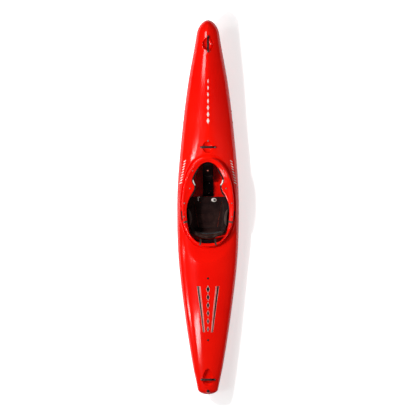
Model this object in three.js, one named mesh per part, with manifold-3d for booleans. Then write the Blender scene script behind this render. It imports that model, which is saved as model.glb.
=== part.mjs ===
// A long whitewater kayak: one moulded shell with an outfitted cockpit.
// Millimetres. +X is the paddler's right side in plan, +Y points to the bow, +Z is up.
// The origin lies under the middle of the boat, at the height of the hull bottom.
import * as THREE from 'three';
import { mergeVertices } from 'three/addons/utils/BufferGeometryUtils.js';
import Module from 'manifold-3d';

const wasm = await Module();
wasm.setup();

// Driving dimensions of the hull
const hullLength = 3660;
const hullBeam = 610;
const wall = 6;
const bowRocker = 235;
const sternRocker = 150;
const flatRunHalf = 430;
const bottomFlatHalf = 135;
const bowEndLength = 130;
const sternEndLength = 50;
const bowTop = 385;
const foreDeckHeight = 332;
const midDeckHeight = 300;
const rearDeckHeight = 262;
const sternTop = 262;
const chineHeight = 190;
const halfLength = hullLength / 2;
const halfBeam = hullBeam / 2;

// Flat pad moulded proud of the bottom, on which the boat stands and planes
const planingPadHalfWidth = 110;
const planingPadHalfLength = 330;
const planingPadDepth = 2;
const planingPadRamp = 14;
const planingPadHeight = 5;

// Driving dimensions of the cockpit rim
const rimFront = 508;
const rimRear = -390;
const rimHalfWidth = 266;
const rimFrontHeight = 372;
const rimRearHeight = 308;
const rimSag = 10;
const lipWidth = 18;
const lipThickness = 7;
const openingFront = 446;
const openingRear = -346;
const openingHalfWidth = 206;
const edgeDrop = 12;

// Clearance between pieces that touch
const gap = 0.3;
const overrun = 20;

// Driving dimensions of the handles and their bolts
const handleWidth = 19;
const handleThickness = 9;
const handleRise = 9;
const bowHandleLength = 165;
const midHandleLength = 158;
const sternHandleLength = 148;
const bowHandleInset = 242;
const sternHandleInset = 153;
const midHandleAhead = 83;
const bowHandleY = halfLength - bowHandleInset;
const midHandleY = rimFront + midHandleAhead;
const sternHandleY = sternHandleInset - halfLength;
const bowlRadius = 54;
const bowlDepth = 38;
const sternBowlFrontReach = 99;
const sternBowlRearReach = 59;
const boltHeadRadius = 7.5;
const boltHeadHeight = 3.2;
const boltShankRadius = 3.2;
const boltClearance = 0.3;
const bossRadius = 13;
const bossHeight = 2.5;
const boltEndInset = 11;
const boltReach = 5;
const boltEndRoom = 4;
const insertDepth = wall + boltReach + boltEndRoom;

// Driving dimensions of the drain plug
const plugInset = 41;
const plugY = plugInset - halfLength;
const plugHeadRadius = 14;
const plugHeadHeight = 6;
const plugShankRadius = 9;
const plugShankLength = 16;
const gasketThickness = 2;
const gasketWidth = 3.5;
const plugChamfer = 1.5;

// Shares of the half length, from stern to bow, and the half beam there as a share of the half beam
const beamStationShares = [
  [-1, 0.30], [-0.96, 0.344], [-0.83, 0.505], [-0.56, 0.757], [-0.28, 0.951],
  [-0.04, 1], [0.148, 0.972], [0.40, 0.839], [0.66, 0.646], [0.88, 0.408], [1, 0.29],
];
// Shares of the half length and the deck line at the centre, each a share between two named heights
const deckStations = [
  [-1, sternTop], [-0.6, rearDeckHeight + (sternTop - rearDeckHeight) / 2], [-0.3, rearDeckHeight],
  [-0.1, midDeckHeight], [0.28, foreDeckHeight], [0.6, (foreDeckHeight + bowTop) / 2], [1, bowTop],
];
const sternChineShare = 0.93;
const bowChineShare = 0.9;
const keelBowPowerShare = 2.1;
const keelSternPowerShare = 2;
const sideBottomPowerShare = 2.6;
const deckPowerShare = 2.05;
const bowPeakPowerShare = 1.45;
const hullColumns = 24;
const hullStations = 26;
const endStations = 3;
const endAngle = 1.45;
const rimSides = 56;
const roundSides = 16;
const bossSides = 12;
const holeSides = 8;
const boltSides = 8;
const bowlSides = 16;
const bowlSteps = 3;

// Piecewise curve with eased joints, through [share of the half length, value]
function alongHull(stations, y) {
  const share = THREE.MathUtils.clamp(y / halfLength, -1, 1);
  let i = 0;
  while (i < stations.length - 2 && share > stations[i + 1][0]) i += 1;
  const slope = (a, b) => (stations[b][1] - stations[a][1]) / (stations[b][0] - stations[a][0]);
  const last = stations.length - 1;
  const tangent = (k) => (k === 0 ? slope(0, 1) : k === last ? slope(last - 1, last) : slope(k - 1, k + 1));
  const span = stations[i + 1][0] - stations[i][0];
  const t = (share - stations[i][0]) / span;
  const a = stations[i][1];
  const b = stations[i + 1][1];
  const h = t * t * (3 - 2 * t);
  return a + (b - a) * h + span * (tangent(i) * t * (1 - t) * (1 - t) - tangent(i + 1) * t * t * (1 - t));
}

// How full the section is towards an end: 1 in the run, falling on an ellipse to 0 at the tip
function endFullness(y, inset) {
  const reach = y > 0 ? bowEndLength : sternEndLength;
  const depth = Math.max(0, Math.abs(y) - (halfLength - reach)) / (reach - inset);
  return Math.sqrt(Math.max(0, 1 - depth * depth));
}

function keelHeight(y) {
  const beyond = Math.max(0, Math.abs(y) - flatRunHalf) / (halfLength - flatRunHalf);
  return y > 0 ? bowRocker * beyond ** keelBowPowerShare : sternRocker * beyond ** keelSternPowerShare;
}

const deckCentreHeight = (y) => alongHull(deckStations, y);

function sectionAt(y, inset) {
  const full = endFullness(y, inset);
  const halfWidth = (alongHull(beamStationShares, y) * halfBeam - inset) * full;
  const rawKeel = keelHeight(y) + inset;
  const rawDeck = deckCentreHeight(y) - inset;
  const middle = (rawKeel + rawDeck) / 2;
  const keel = middle + (rawKeel - middle) * full;
  const deck = middle + (rawDeck - middle) * full;
  const towardsEnd = Math.min(1, Math.abs(y) / halfLength);
  const chineShare = y > 0 ? bowChineShare : sternChineShare;
  const chine = keel + (deck - keel) * THREE.MathUtils.lerp(chineHeight / foreDeckHeight, chineShare * 0.62, towardsEnd);
  const flat = Math.min(bottomFlatHalf, halfWidth * 0.6);
  const peak = y > 0 ? Math.min(1, y / (halfLength * 0.45)) : 0;
  const deckPower = THREE.MathUtils.lerp(deckPowerShare, bowPeakPowerShare, peak);
  return { halfWidth, keel, deck, chine, flat, deckPower };
}

// Height of the deck's outer surface over a plan point
function deckHeight(x, y) {
  const s = sectionAt(y, 0);
  const across = Math.min(1, Math.abs(x) / s.halfWidth);
  return s.chine + (s.deck - s.chine) * (1 - across ** s.deckPower) ** (1 / s.deckPower);
}

// Closed ring of a section, from the keel up the right side, over the deck and down the left
function sectionRing(y, inset) {
  const s = sectionAt(y, inset);
  const quarter = hullColumns / 4;
  const right = [];
  for (let i = 0; i <= quarter; i += 1) {
    const angle = (i / quarter) * Math.PI / 2;
    const out = Math.sin(angle) ** (2 / sideBottomPowerShare);
    const down = Math.cos(angle) ** (2 / sideBottomPowerShare);
    right.push([s.flat + (s.halfWidth - s.flat) * out, s.chine - (s.chine - s.keel) * down]);
  }
  for (let i = 1; i <= quarter; i += 1) {
    const angle = (i / quarter) * Math.PI / 2;
    const out = Math.cos(angle) ** (2 / s.deckPower);
    const up = Math.sin(angle) ** (2 / s.deckPower);
    right.push([s.halfWidth * out, s.chine + (s.deck - s.chine) * up]);
  }
  const left = right.slice(0, -1).reverse().map(([x, z]) => [-x, z]);
  return [...right, ...left].map(([x, z]) => [x, y, z]);
}

// Triangles that close a ring, wound the way the ring runs
function capOf(ring) {
  const points = ring.map((p) => new THREE.Vector3(...p));
  const centre = points.reduce((sum, p) => sum.add(p), new THREE.Vector3()).divideScalar(points.length);
  const normal = new THREE.Vector3();
  points.forEach((p, i) => {
    const next = points[(i + 1) % points.length];
    normal.add(new THREE.Vector3().crossVectors(p.clone().sub(centre), next.clone().sub(centre)));
  });
  normal.normalize();
  const across = points[0].clone().sub(centre);
  across.addScaledVector(normal, -across.dot(normal)).normalize();
  const upward = new THREE.Vector3().crossVectors(normal, across);
  const flat = points.map((p) => new THREE.Vector2(p.clone().sub(centre).dot(across), p.clone().sub(centre).dot(upward)));
  return THREE.ShapeUtils.triangulateShape(flat, []).map(([i, j, k]) => {
    const turn = (flat[j].x - flat[i].x) * (flat[k].y - flat[i].y) - (flat[j].y - flat[i].y) * (flat[k].x - flat[i].x);
    return turn > 0 ? [i, j, k] : [i, k, j];
  });
}

// Closed skin over rings of equal count, capped at each end unless the rings close on themselves
function skin(rings, closed, mirrorFrom = Infinity) {
  const count = rings[0].length;
  const triangles = [];
  const last = closed ? rings.length : rings.length - 1;
  for (let r = 0; r < last; r += 1) {
    const next = (r + 1) % rings.length;
    for (let i = 0; i < count; i += 1) {
      const j = (i + 1) % count;
      const [a, b, c, d] = [r * count + i, r * count + j, next * count + j, next * count + i];
      triangles.push(...(r < mirrorFrom ? [a, b, c, a, c, d] : [a, b, d, b, c, d]));
    }
  }
  if (!closed) {
    const start = (rings.length - 1) * count;
    capOf(rings[0]).forEach(([i, j, k]) => triangles.push(i, k, j));
    capOf(rings[rings.length - 1]).forEach(([i, j, k]) => triangles.push(start + i, start + j, start + k));
  }
  const geometry = new THREE.BufferGeometry();
  geometry.setAttribute('position', new THREE.Float32BufferAttribute(rings.flat(2), 3));
  geometry.setIndex(triangles);
  return geometry;
}

// Solids to cut and join
function solid(geometry) {
  const bare = geometry.clone();
  bare.deleteAttribute('normal');
  bare.deleteAttribute('uv');
  const merged = mergeVertices(bare, 1e-4);
  let index = Array.from(merged.index.array);
  const position = merged.attributes.position.array;
  let volume = 0;
  for (let i = 0; i < index.length; i += 3) {
    const [a, b, c] = [0, 1, 2].map((k) => new THREE.Vector3().fromArray(position, 3 * index[i + k]));
    volume += a.dot(b.cross(c));
  }
  if (volume < 0) {
    const turned = [];
    for (let i = 0; i < index.length; i += 3) turned.push(index[i], index[i + 2], index[i + 1]);
    index = turned;
  }
  const mesh = new wasm.Mesh({
    numProp: 3,
    vertProperties: Float32Array.from(position),
    triVerts: Uint32Array.from(index),
  });
  return new wasm.Manifold(mesh);
}

function geometryOf(body) {
  const mesh = body.getMesh();
  const geometry = new THREE.BufferGeometry();
  geometry.setAttribute('position', new THREE.Float32BufferAttribute(mesh.vertProperties, mesh.numProp));
  geometry.setIndex(Array.from(mesh.triVerts));
  return geometry;
}

const moved = (geometry, x, y, z) => geometry.translate(x, y, z);
const box = (width, depth, height) => new THREE.BoxGeometry(width, depth, height);
const upright = (radius, height, sides = roundSides) => new THREE.CylinderGeometry(radius, radius, height, sides).rotateX(Math.PI / 2);

// Solid of revolution about +Z from [radius, height] points
function turned(profile, sides = roundSides) {
  const points = profile.map(([radius, height]) => new THREE.Vector2(radius, height));
  return new THREE.LatheGeometry(points, sides).rotateX(Math.PI / 2);
}

const group = new THREE.Group();
group.name = 'whitewater_kayak';

const finishes = {
  shell: new THREE.MeshStandardMaterial({ color: 0xe60a08, roughness: 0.28, metalness: 0 }),
  blackPlastic: new THREE.MeshStandardMaterial({ color: 0x1b1b1d, roughness: 0.5, metalness: 0 }),
  foam: new THREE.MeshStandardMaterial({ color: 0x242325, roughness: 0.9, metalness: 0 }),
  fabric: new THREE.MeshStandardMaterial({ color: 0x2c2a2b, roughness: 0.95, metalness: 0 }),
  webbing: new THREE.MeshStandardMaterial({ color: 0x77787a, roughness: 0.85, metalness: 0 }),
  steel: new THREE.MeshStandardMaterial({ color: 0xb9b9b6, roughness: 0.3, metalness: 1 }),
  whitePlastic: new THREE.MeshStandardMaterial({ color: 0xe8e6e2, roughness: 0.4, metalness: 0 }),
  rubber: new THREE.MeshStandardMaterial({ color: 0x151515, roughness: 0.7, metalness: 0 }),
};

function add(name, geometry, finish, parent = group) {
  const mesh = new THREE.Mesh(geometry, finish.clone());
  mesh.name = name;
  parent.add(mesh);
  return mesh;
}

// The bare hull as a loft, drawn in by an inset
function hullLoft(inset) {
  const sternRun = halfLength - sternEndLength;
  const bowRun = halfLength - bowEndLength;
  const places = [];
  for (let k = endStations; k > 0; k -= 1) {
    places.push(-sternRun - (sternEndLength - inset) * Math.sin((k / endStations) * endAngle));
  }
  for (let k = 0; k <= hullStations; k += 1) places.push(-sternRun + (sternRun + bowRun) * (k / hullStations));
  for (let k = 1; k <= endStations; k += 1) {
    places.push(bowRun + (bowEndLength - inset) * Math.sin((k / endStations) * endAngle));
  }
  return solid(skin(places.map((y) => sectionRing(y, inset)), false));
}

// Cockpit rim: plan outlines sampled from the front, down the right side, and back up the left
const rimCrest = (y) => {
  const t = THREE.MathUtils.clamp((y - rimRear) / (rimFront - rimRear), 0, 1);
  return THREE.MathUtils.lerp(rimRearHeight, rimFrontHeight, t) - rimSag * Math.sin(Math.PI * t);
};
const rimPower = 2.2;

function rimOuterPoint(angle) {
  const across = Math.abs(Math.sin(angle)) ** (2 / rimPower) * Math.sign(Math.sin(angle));
  const along = Math.abs(Math.cos(angle)) ** (2 / rimPower) * Math.sign(Math.cos(angle));
  return new THREE.Vector2(rimHalfWidth * across, along > 0 ? rimFront * along : -rimRear * along);
}

// Opening outline on the right side, as shares of its half width and half length
const openingShares = [
  [0, 1], [0.30, 0.947], [0.515, 0.828], [0.67, 0.682], [0.755, 0.57], [0.73, 0.487], [0.641, 0.407],
  [0.68, 0.303], [0.806, 0.189], [0.925, 0.05], [1, -0.10], [1, -0.354], [0.951, -0.58],
  [0.82, -0.795], [0.56, -0.94], [0, -1],
];

function halfOpening() {
  const middle = (openingFront + openingRear) / 2;
  const reach = (openingFront - openingRear) / 2;
  const right = openingShares.map(([across, along]) => (
    new THREE.Vector3(openingHalfWidth * across, middle + reach * along, 0)
  ));
  const mirrored = (p) => new THREE.Vector3(-p.x, p.y, 0);
  const whole = [...right, ...right.slice(1, -1).reverse().map(mirrored)];
  return new THREE.CatmullRomCurve3(whole, true, 'centripetal');
}

function rimStations() {
  const opening = halfOpening().getSpacedPoints(rimSides).slice(0, rimSides);
  const dense = [];
  const fine = rimSides * 12;
  for (let i = 0; i <= fine; i += 1) {
    const p = rimOuterPoint((i / fine) * Math.PI * 2);
    dense.push(new THREE.Vector3(p.x, p.y, 0));
  }
  const outer = new THREE.CatmullRomCurve3(dense, false).getSpacedPoints(rimSides).slice(0, rimSides);
  return outer.map((o, i) => {
    const before = outer[(i + rimSides - 1) % rimSides];
    const after = outer[(i + 1) % rimSides];
    const outward = new THREE.Vector2(before.y - after.y, after.x - before.x).normalize();
    const place = (inset) => [o.x - outward.x * inset, o.y - outward.y * inset];
    return { outer: place(0), riserOut: place(lipWidth), crest: place(lipWidth + wall), edge: [opening[i].x, opening[i].y] };
  });
}
const rim = rimStations();

// A point of the flange between the opening's edge and the crest, a share of the way out, below its top by a drop
function flangePoint(i, share, drop) {
  const station = rim[((i % rimSides) + rimSides) % rimSides];
  const x = THREE.MathUtils.lerp(station.edge[0], station.crest[0], share);
  const y = THREE.MathUtils.lerp(station.edge[1], station.crest[1], share);
  const edgeZ = rimCrest(station.edge[1]) - edgeDrop;
  const z = THREE.MathUtils.lerp(edgeZ, rimCrest(station.crest[1]), share);
  return [x, y, z - drop];
}

// Height of the flange's top over a plan point
function flangeHeight(x, y) {
  let best = { distance: Infinity, z: 0 };
  rim.forEach((station, i) => {
    const span = [station.crest[0] - station.edge[0], station.crest[1] - station.edge[1]];
    const along = ((x - station.edge[0]) * span[0] + (y - station.edge[1]) * span[1]) / (span[0] ** 2 + span[1] ** 2);
    const share = THREE.MathUtils.clamp(along, 0, 1);
    const p = flangePoint(i, share, 0);
    const distance = Math.hypot(p[0] - x, p[1] - y);
    if (distance < best.distance) best = { distance, z: p[2] };
  });
  return best.z;
}

function coaming(lowered) {
  const rings = rim.map((station, i) => {
    const lipTop = rimCrest(station.outer[1]) - lipThickness / 4;
    const foot = deckHeight(...station.riserOut) - wall * 0.7;
    return [
      flangePoint(i, 0, 0),
      flangePoint(i, 1, 0),
      [...station.outer, lipTop],
      [...station.outer, lipTop - lipThickness],
      [...station.riserOut, lipTop - lipThickness],
      [...station.riserOut, foot],
      [...station.crest, foot],
      flangePoint(i, 1, wall),
      flangePoint(i, 0, wall),
    ];
  });
  return solid(moved(skin(rings, true, rimSides / 2), 0, 0, -lowered));
}

function deckCut() {
  const low = chineHeight;
  const ring = (z) => rim.map((station) => {
    const [x, y] = [(station.crest[0] + station.riserOut[0]) / 2, (station.crest[1] + station.riserOut[1]) / 2];
    return [x, y, z];
  });
  return solid(skin([ring(low), ring(rimFrontHeight + overrun)], false));
}

// Handle bowl: a round or egg-shaped hollow with a domed floor and an upright side
function bowl(y, frontReach, rearReach, grow) {
  const radius = bowlRadius + grow;
  const depth = bowlDepth + grow;
  const rise = foreDeckHeight;
  const profile = [[0, -depth]];
  for (let i = 1; i <= bowlSteps; i += 1) {
    const angle = (i / bowlSteps) * Math.PI / 2;
    profile.push([radius * Math.sin(angle), -depth * Math.cos(angle)]);
  }
  profile.push([radius, rise], [0, rise]);
  const geometry = turned(profile, bowlSides);
  const position = geometry.attributes.position;
  for (let i = 0; i < position.count; i += 1) {
    const along = position.getY(i) / radius;
    const reach = (along > 0 ? frontReach : rearReach) + grow;
    const narrowing = 1 - 0.28 * Math.max(0, along) * ((frontReach - bowlRadius) / bowlRadius);
    position.setY(i, along * reach);
    position.setX(i, position.getX(i) * narrowing);
  }
  return solid(moved(geometry, 0, y, deckHeight(bowlRadius, y)));
}
const bowls = (grow) => [
  bowl(bowHandleY, bowlRadius, bowlRadius, grow),
  bowl(midHandleY, bowlRadius, bowlRadius, grow),
  bowl(sternHandleY, sternBowlFrontReach, sternBowlRearReach, grow),
];

// Where each handle is bolted down: [name, centre y, length, lies along the boat]
const handles = [
  ['bow', bowHandleY, bowHandleLength, true],
  ['mid', midHandleY, midHandleLength, false],
  ['stern', sternHandleY, sternHandleLength, false],
].map(([name, y, length, alongBoat]) => {
  const reach = length / 2 - boltEndInset;
  const bolts = alongBoat ? [[0, y + reach], [0, y - reach]] : [[-reach, y], [reach, y]];
  const seat = Math.max(...bolts.map(([x, by]) => deckHeight(x, by))) + bossHeight;
  const bowed = alongBoat ? handleRise : handleRise + deckHeight(0, y) - seat;
  return { name, y, length, alongBoat, bolts, seat, rise: Math.max(handleRise, bowed) };
});

const midHandle = handles[1];

const plugSeat = deckHeight(plugHeadRadius, plugY) + bossHeight;
const screwBehindRim = 299;
const screwFromPillarEnd = 128;
const screwAheadOfHandle = 61;
const rearPillarInset = 410;
const rearPillarRear = rearPillarInset - halfLength;
const rearScrewYs = [rimRear - screwBehindRim, rearPillarRear + screwFromPillarEnd];
const frontScrewY = midHandleY + screwAheadOfHandle;
const screwRadius = 2.6;
const screwHeadRadius = 8;
const screwHeadHeight = 3;
const screwLength = 34;
const deckScrews = [
  ['rear_pillar_screw_front', rearScrewYs[0]],
  ['rear_pillar_screw_rear', rearScrewYs[1]],
  ['front_pillar_screw', frontScrewY],
].map(([name, y]) => ({ name, y, seat: deckHeight(0, y) + bossHeight / 2 }));

// Bolts through the rim: the first two hold the thigh brace, the last two the seat hanger
const thighBoltFrontX = 150;
const thighBoltFrontY = 361;
const thighBoltRearX = 176;
const thighBoltRearY = 190;
const hangerBoltX = 231;
const hangerBoltFrontY = 46;
const hangerBoltRearY = -85;
const rimBolts = [
  { name: 'thigh_bolt_front', x: thighBoltFrontX, y: thighBoltFrontY },
  { name: 'thigh_bolt_rear', x: thighBoltRearX, y: thighBoltRearY },
  { name: 'hanger_bolt_front', x: hangerBoltX, y: hangerBoltFrontY },
  { name: 'hanger_bolt_rear', x: hangerBoltX, y: hangerBoltRearY },
].map((bolt) => ({ ...bolt, seat: flangeHeight(bolt.x, bolt.y) + bossHeight + gap }));
const rimBossRadius = 8;
const rimBoltHeadRadius = 6.5;
const rimBoltHeadHeight = 3;
const rimBoltLength = 18;

const sides = [['left', -1], ['right', 1]];

function rod(x, y, low, high, radius, count = holeSides) {
  return solid(moved(upright(radius, high - low, count), x, y, (low + high) / 2));
}

// Bolts of the foot rails, through the hull's side at its widest height
const footRailYs = [838, 952];
const footRailInner = 168;
const sideBoltHeadRadius = 7;
const footBoltPlaces = footRailYs.map((y) => {
  const s = sectionAt(y, 0);
  return { y, x: s.halfWidth, z: s.chine };
});
const crossRod = (side, from, to, y, z, radius) => {
  const length = to - from;
  return solid(moved(new THREE.CylinderGeometry(radius, radius, length, holeSides).rotateZ(Math.PI / 2), side * (from + to) / 2, y, z));
};

// The outside of the hull: its flat bottom is cut back, and the planing pad stands proud of it
function hullOutside() {
  const [width, length] = [planingPadHalfWidth * 2, planingPadHalfLength * 2];
  const slab = solid(moved(box(hullBeam * 2, hullLength * 2, planingPadDepth * 2), 0, 0, 0));
  const pad = moved(box(width, length, planingPadHeight), 0, 0, planingPadHeight / 2);
  const position = pad.attributes.position;
  for (let i = 0; i < position.count; i += 1) {
    if (position.getZ(i) < planingPadHeight / 2) continue;
    position.setX(i, Math.sign(position.getX(i)) * (planingPadHalfWidth + planingPadRamp));
    position.setY(i, Math.sign(position.getY(i)) * (planingPadHalfLength + planingPadRamp));
  }
  return hullLoft(0).subtract(slab).add(solid(pad));
}

function hullShell() {
  const outer = hullOutside();
  let cavity = hullLoft(wall);
  bowls(wall).forEach((b) => { cavity = cavity.subtract(b); });
  let shell = outer.subtract(cavity);
  bowls(0).forEach((b) => { shell = shell.subtract(b); });
  shell = shell.subtract(deckCut()).add(coaming(0));
  for (const handle of handles) {
    for (const [x, y] of handle.bolts) {
      shell = shell.add(rod(x, y, deckHeight(x, y) - insertDepth, handle.seat, bossRadius, bossSides));
      const holeLow = deckHeight(x, y) - insertDepth + wall / 2;
      shell = shell.subtract(rod(x, y, holeLow, handle.seat + overrun, boltShankRadius + boltClearance));
    }
  }
  shell = shell.add(rod(0, plugY, plugSeat - plugShankLength - wall, plugSeat, plugHeadRadius + wall, roundSides));
  shell = shell.subtract(rod(0, plugY, sternRocker + overrun, plugSeat + overrun, plugShankRadius + boltClearance * 2, bossSides));
  for (const screw of deckScrews) {
    shell = shell.add(rod(0, screw.y, screw.seat - wall, screw.seat, screwHeadRadius + wall / 2, bossSides));
    shell = shell.subtract(rod(0, screw.y, screw.seat - overrun, screw.seat + overrun, screwRadius + boltClearance));
  }
  for (const [, side] of sides) {
    for (const bolt of rimBolts) {
      shell = shell.add(rod(side * bolt.x, bolt.y, bolt.seat - wall * 0.6, bolt.seat, rimBossRadius, bossSides));
      shell = shell.subtract(rod(side * bolt.x, bolt.y, bolt.seat - overrun, bolt.seat + overrun, boltShankRadius + boltClearance));
    }
    for (const { x, y, z } of footBoltPlaces) {
      shell = shell.subtract(crossRod(side, x - overrun, x + overrun, y, z, boltShankRadius + boltClearance));
    }
  }
  return geometryOf(shell);
}
add('hull_shell', hullShell(), finishes.shell);

// Grab handles: a bowed bar with flat feet, bolted over its bowl
const footLength = 20;
const boltSeatHeight = 4.6;

function handleBar({ length, alongBoat, rise }) {
  const half = length / 2;
  const inner = half - footLength;
  const outline = new THREE.Shape();
  outline.moveTo(-half, 0);
  outline.lineTo(-inner, 0);
  outline.bezierCurveTo(-inner + footLength / 2, 0, -inner + footLength / 2, rise, -inner + footLength, rise);
  outline.lineTo(inner - footLength, rise);
  outline.bezierCurveTo(inner - footLength / 2, rise, inner - footLength / 2, 0, inner, 0);
  outline.lineTo(half, 0);
  outline.lineTo(half, handleThickness * 0.6);
  outline.bezierCurveTo(inner, handleThickness * 0.7, inner - footLength / 4, rise + handleThickness, 0, rise + handleThickness);
  outline.bezierCurveTo(-inner + footLength / 4, rise + handleThickness, -inner, handleThickness * 0.7, -half, handleThickness * 0.6);
  const side = new THREE.ExtrudeGeometry(outline, { depth: handleWidth, bevelEnabled: false, curveSegments: 5 });
  const bar = solid(side.rotateX(Math.PI / 2).translate(0, handleWidth / 2, 0));
  const plan = new THREE.Shape();
  const straight = half - handleWidth / 2;
  plan.absarc(straight, 0, handleWidth / 2, -Math.PI / 2, Math.PI / 2, false);
  plan.absarc(-straight, 0, handleWidth / 2, Math.PI / 2, Math.PI * 1.5, false);
  const stadium = new THREE.ExtrudeGeometry(plan, { depth: overrun * 4, bevelEnabled: false, curveSegments: 6 });
  let whole = bar.intersect(solid(stadium.translate(0, 0, -overrun)));
  for (const end of [-1, 1]) {
    whole = whole.subtract(rod(end * (half - boltEndInset), 0, -overrun, overrun, boltShankRadius + boltClearance));
    whole = whole.subtract(rod(end * (half - boltEndInset), 0, boltSeatHeight, overrun * 2, boltHeadRadius + gap, bossSides));
  }
  const geometry = geometryOf(whole);
  return alongBoat ? geometry.rotateZ(Math.PI / 2) : geometry;
}

function buttonBolt(headRadius, headHeight, shankRadius, length) {
  return turned([
    [0, -length], [shankRadius, -length], [shankRadius, 0], [headRadius, 0],
    [headRadius, headHeight * 0.45], [headRadius * 0.62, headHeight], [0, headHeight * 0.6],
  ], boltSides);
}

const handleBoltLength = boltSeatHeight + wall + boltReach;
for (const handle of handles) {
  const bar = add(`${handle.name}_handle`, handleBar(handle), finishes.blackPlastic);
  bar.position.set(0, handle.y, handle.seat + gap);
  const names = handle.alongBoat ? ['front', 'rear'] : ['left', 'right'];
  handle.bolts.forEach(([x, y], i) => {
    const bolt = buttonBolt(boltHeadRadius, boltHeadHeight, boltShankRadius, handleBoltLength);
    add(`${handle.name}_handle_bolt_${names[i]}`, bolt, finishes.steel).position.set(x, y, handle.seat + gap * 2 + boltSeatHeight);
  });
}

// Drain plug with a coin slot, over its captive gasket
const slotWidth = 3;
const slotDepth = 2.5;

function drainPlug() {
  const body = solid(turned([
    [0, -plugShankLength], [plugShankRadius - plugChamfer, -plugShankLength],
    [plugShankRadius, -plugShankLength + plugChamfer],
    [plugShankRadius, 0], [plugHeadRadius, 0], [plugHeadRadius, plugHeadHeight * 0.6],
    [plugHeadRadius * 0.86, plugHeadHeight], [0, plugHeadHeight],
  ]));
  const slot = solid(moved(box(plugHeadRadius * 1.4, slotWidth, slotDepth * 2), 0, 0, plugHeadHeight));
  return geometryOf(body.subtract(slot));
}
const gasketInner = plugShankRadius + boltClearance;
add('drain_gasket', turned([
  [gasketInner, 0], [gasketInner + gasketWidth, 0], [gasketInner + gasketWidth, gasketThickness],
  [gasketInner, gasketThickness], [gasketInner, 0],
]), finishes.rubber).position.set(0, plugY, plugSeat + gap);
add('drain_plug', drainPlug(), finishes.blackPlastic).position.set(0, plugY, plugSeat + gap * 2 + gasketThickness);

// Foam pillars: blocks trimmed to the inside of the hull, with lightening holes
const pillarHalfWidth = 51;
const frontPillarFront = 790;
const frontPillarFoot = 262;
const frontPillarTop = 418;
const rearPillarHalfWidth = 59;
const rearPillarFront = -312;
const bowPillarInset = 360;
const bowPillarAhead = 158;
const bowPillarFront = halfLength - bowPillarInset;
const bowPillarRear = Math.max(...footRailYs) + bowPillarAhead;
const bowHoleShare = 0.128;
const pillarHoleRadius = 46;
const frontHoleRadius = 15;
const frontHoleY = 364;
const ledgeY = 318;
const ledgeDepth = 16;
const ledgeRise = 120;
const frontHolesZ = 130;
const middleHolesZ = 120;
const bowHoleZ = 205;

const innerHull = hullLoft(wall + gap);

function pillarBlock(halfWidth, rear, front) {
  const height = rimFrontHeight + overrun;
  return solid(moved(box(halfWidth * 2, front - rear, height), 0, (front + rear) / 2, height / 2)).intersect(innerHull);
}
const screwBore = (y) => rod(0, y, 0, rimFrontHeight + overrun, screwRadius + boltClearance);
const crossBore = (y, z, radius) => crossRod(1, -hullBeam, hullBeam, y, z, radius);

function frontPillar() {
  let pillar = pillarBlock(pillarHalfWidth, frontPillarFoot, frontPillarFront);
  const face = new THREE.Shape();
  const top = foreDeckHeight + overrun;
  face.moveTo(frontPillarFoot - overrun, wall + ledgeRise * 0.55);
  face.lineTo(ledgeY - ledgeDepth, wall + ledgeRise);
  face.lineTo(ledgeY, wall + ledgeRise);
  face.lineTo(frontPillarTop, top - overrun * 2);
  face.lineTo(frontPillarTop, top);
  face.lineTo(frontPillarFoot - overrun, top);
  const cut = new THREE.ExtrudeGeometry(face, { depth: hullBeam, bevelEnabled: false });
  cut.applyMatrix4(new THREE.Matrix4().makeBasis(
    new THREE.Vector3(0, 1, 0), new THREE.Vector3(0, 0, 1), new THREE.Vector3(1, 0, 0),
  )).translate(-halfBeam, 0, 0);
  pillar = pillar.subtract(solid(cut));
  pillar = pillar.subtract(bowl(midHandleY, bowlRadius, bowlRadius, wall + gap));
  const bore = new THREE.CylinderGeometry(frontHoleRadius, frontHoleRadius, ledgeRise, roundSides);
  pillar = pillar.subtract(solid(moved(bore, 0, frontHoleY + ledgeRise / 2 - frontHoleRadius, ledgeRise + wall + frontHoleRadius * 3)));
  pillar = pillar.subtract(crossBore(frontPillarFront - pillarHoleRadius * 2, frontHolesZ, pillarHoleRadius));
  pillar = pillar.subtract(crossBore((frontPillarTop + frontPillarFront) / 2 - overrun * 2, middleHolesZ, pillarHoleRadius));
  for (const [x, y] of midHandle.bolts) {
    pillar = pillar.subtract(rod(x, y, deckHeight(x, y) / 2, rimFrontHeight, bossRadius + wall));
  }
  return geometryOf(pillar.subtract(screwBore(frontScrewY)));
}

function rearPillar() {
  let pillar = pillarBlock(rearPillarHalfWidth, rearPillarRear, rearPillarFront);
  rearScrewYs.forEach((y) => { pillar = pillar.subtract(screwBore(y)); });
  for (const share of [0.14, 0.34, 0.54, 0.72]) {
    const y = THREE.MathUtils.lerp(rearPillarFront, rearPillarRear, share);
    pillar = pillar.subtract(crossBore(y, (keelHeight(y) + deckCentreHeight(y)) / 2, pillarHoleRadius));
  }
  return geometryOf(pillar);
}
add('front_pillar', frontPillar(), finishes.foam);
add('bow_pillar', geometryOf(pillarBlock(pillarHalfWidth, bowPillarRear, bowPillarFront)
  .subtract(crossBore((bowPillarRear + bowPillarFront) / 2, bowHoleZ, (bowPillarFront - bowPillarRear) * bowHoleShare))), finishes.foam);
add('rear_pillar', rearPillar(), finishes.foam);

for (const screw of deckScrews) {
  add(screw.name, buttonBolt(screwHeadRadius, screwHeadHeight, screwRadius, screwLength), finishes.blackPlastic)
    .position.set(0, screw.y, screw.seat + gap);
}
for (const [side, sign] of sides) {
  for (const bolt of rimBolts) {
    add(`${bolt.name}_${side}`, buttonBolt(rimBoltHeadRadius, rimBoltHeadHeight, boltShankRadius, rimBoltLength), finishes.steel)
      .position.set(sign * bolt.x, bolt.y, bolt.seat + gap);
  }
}

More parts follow.
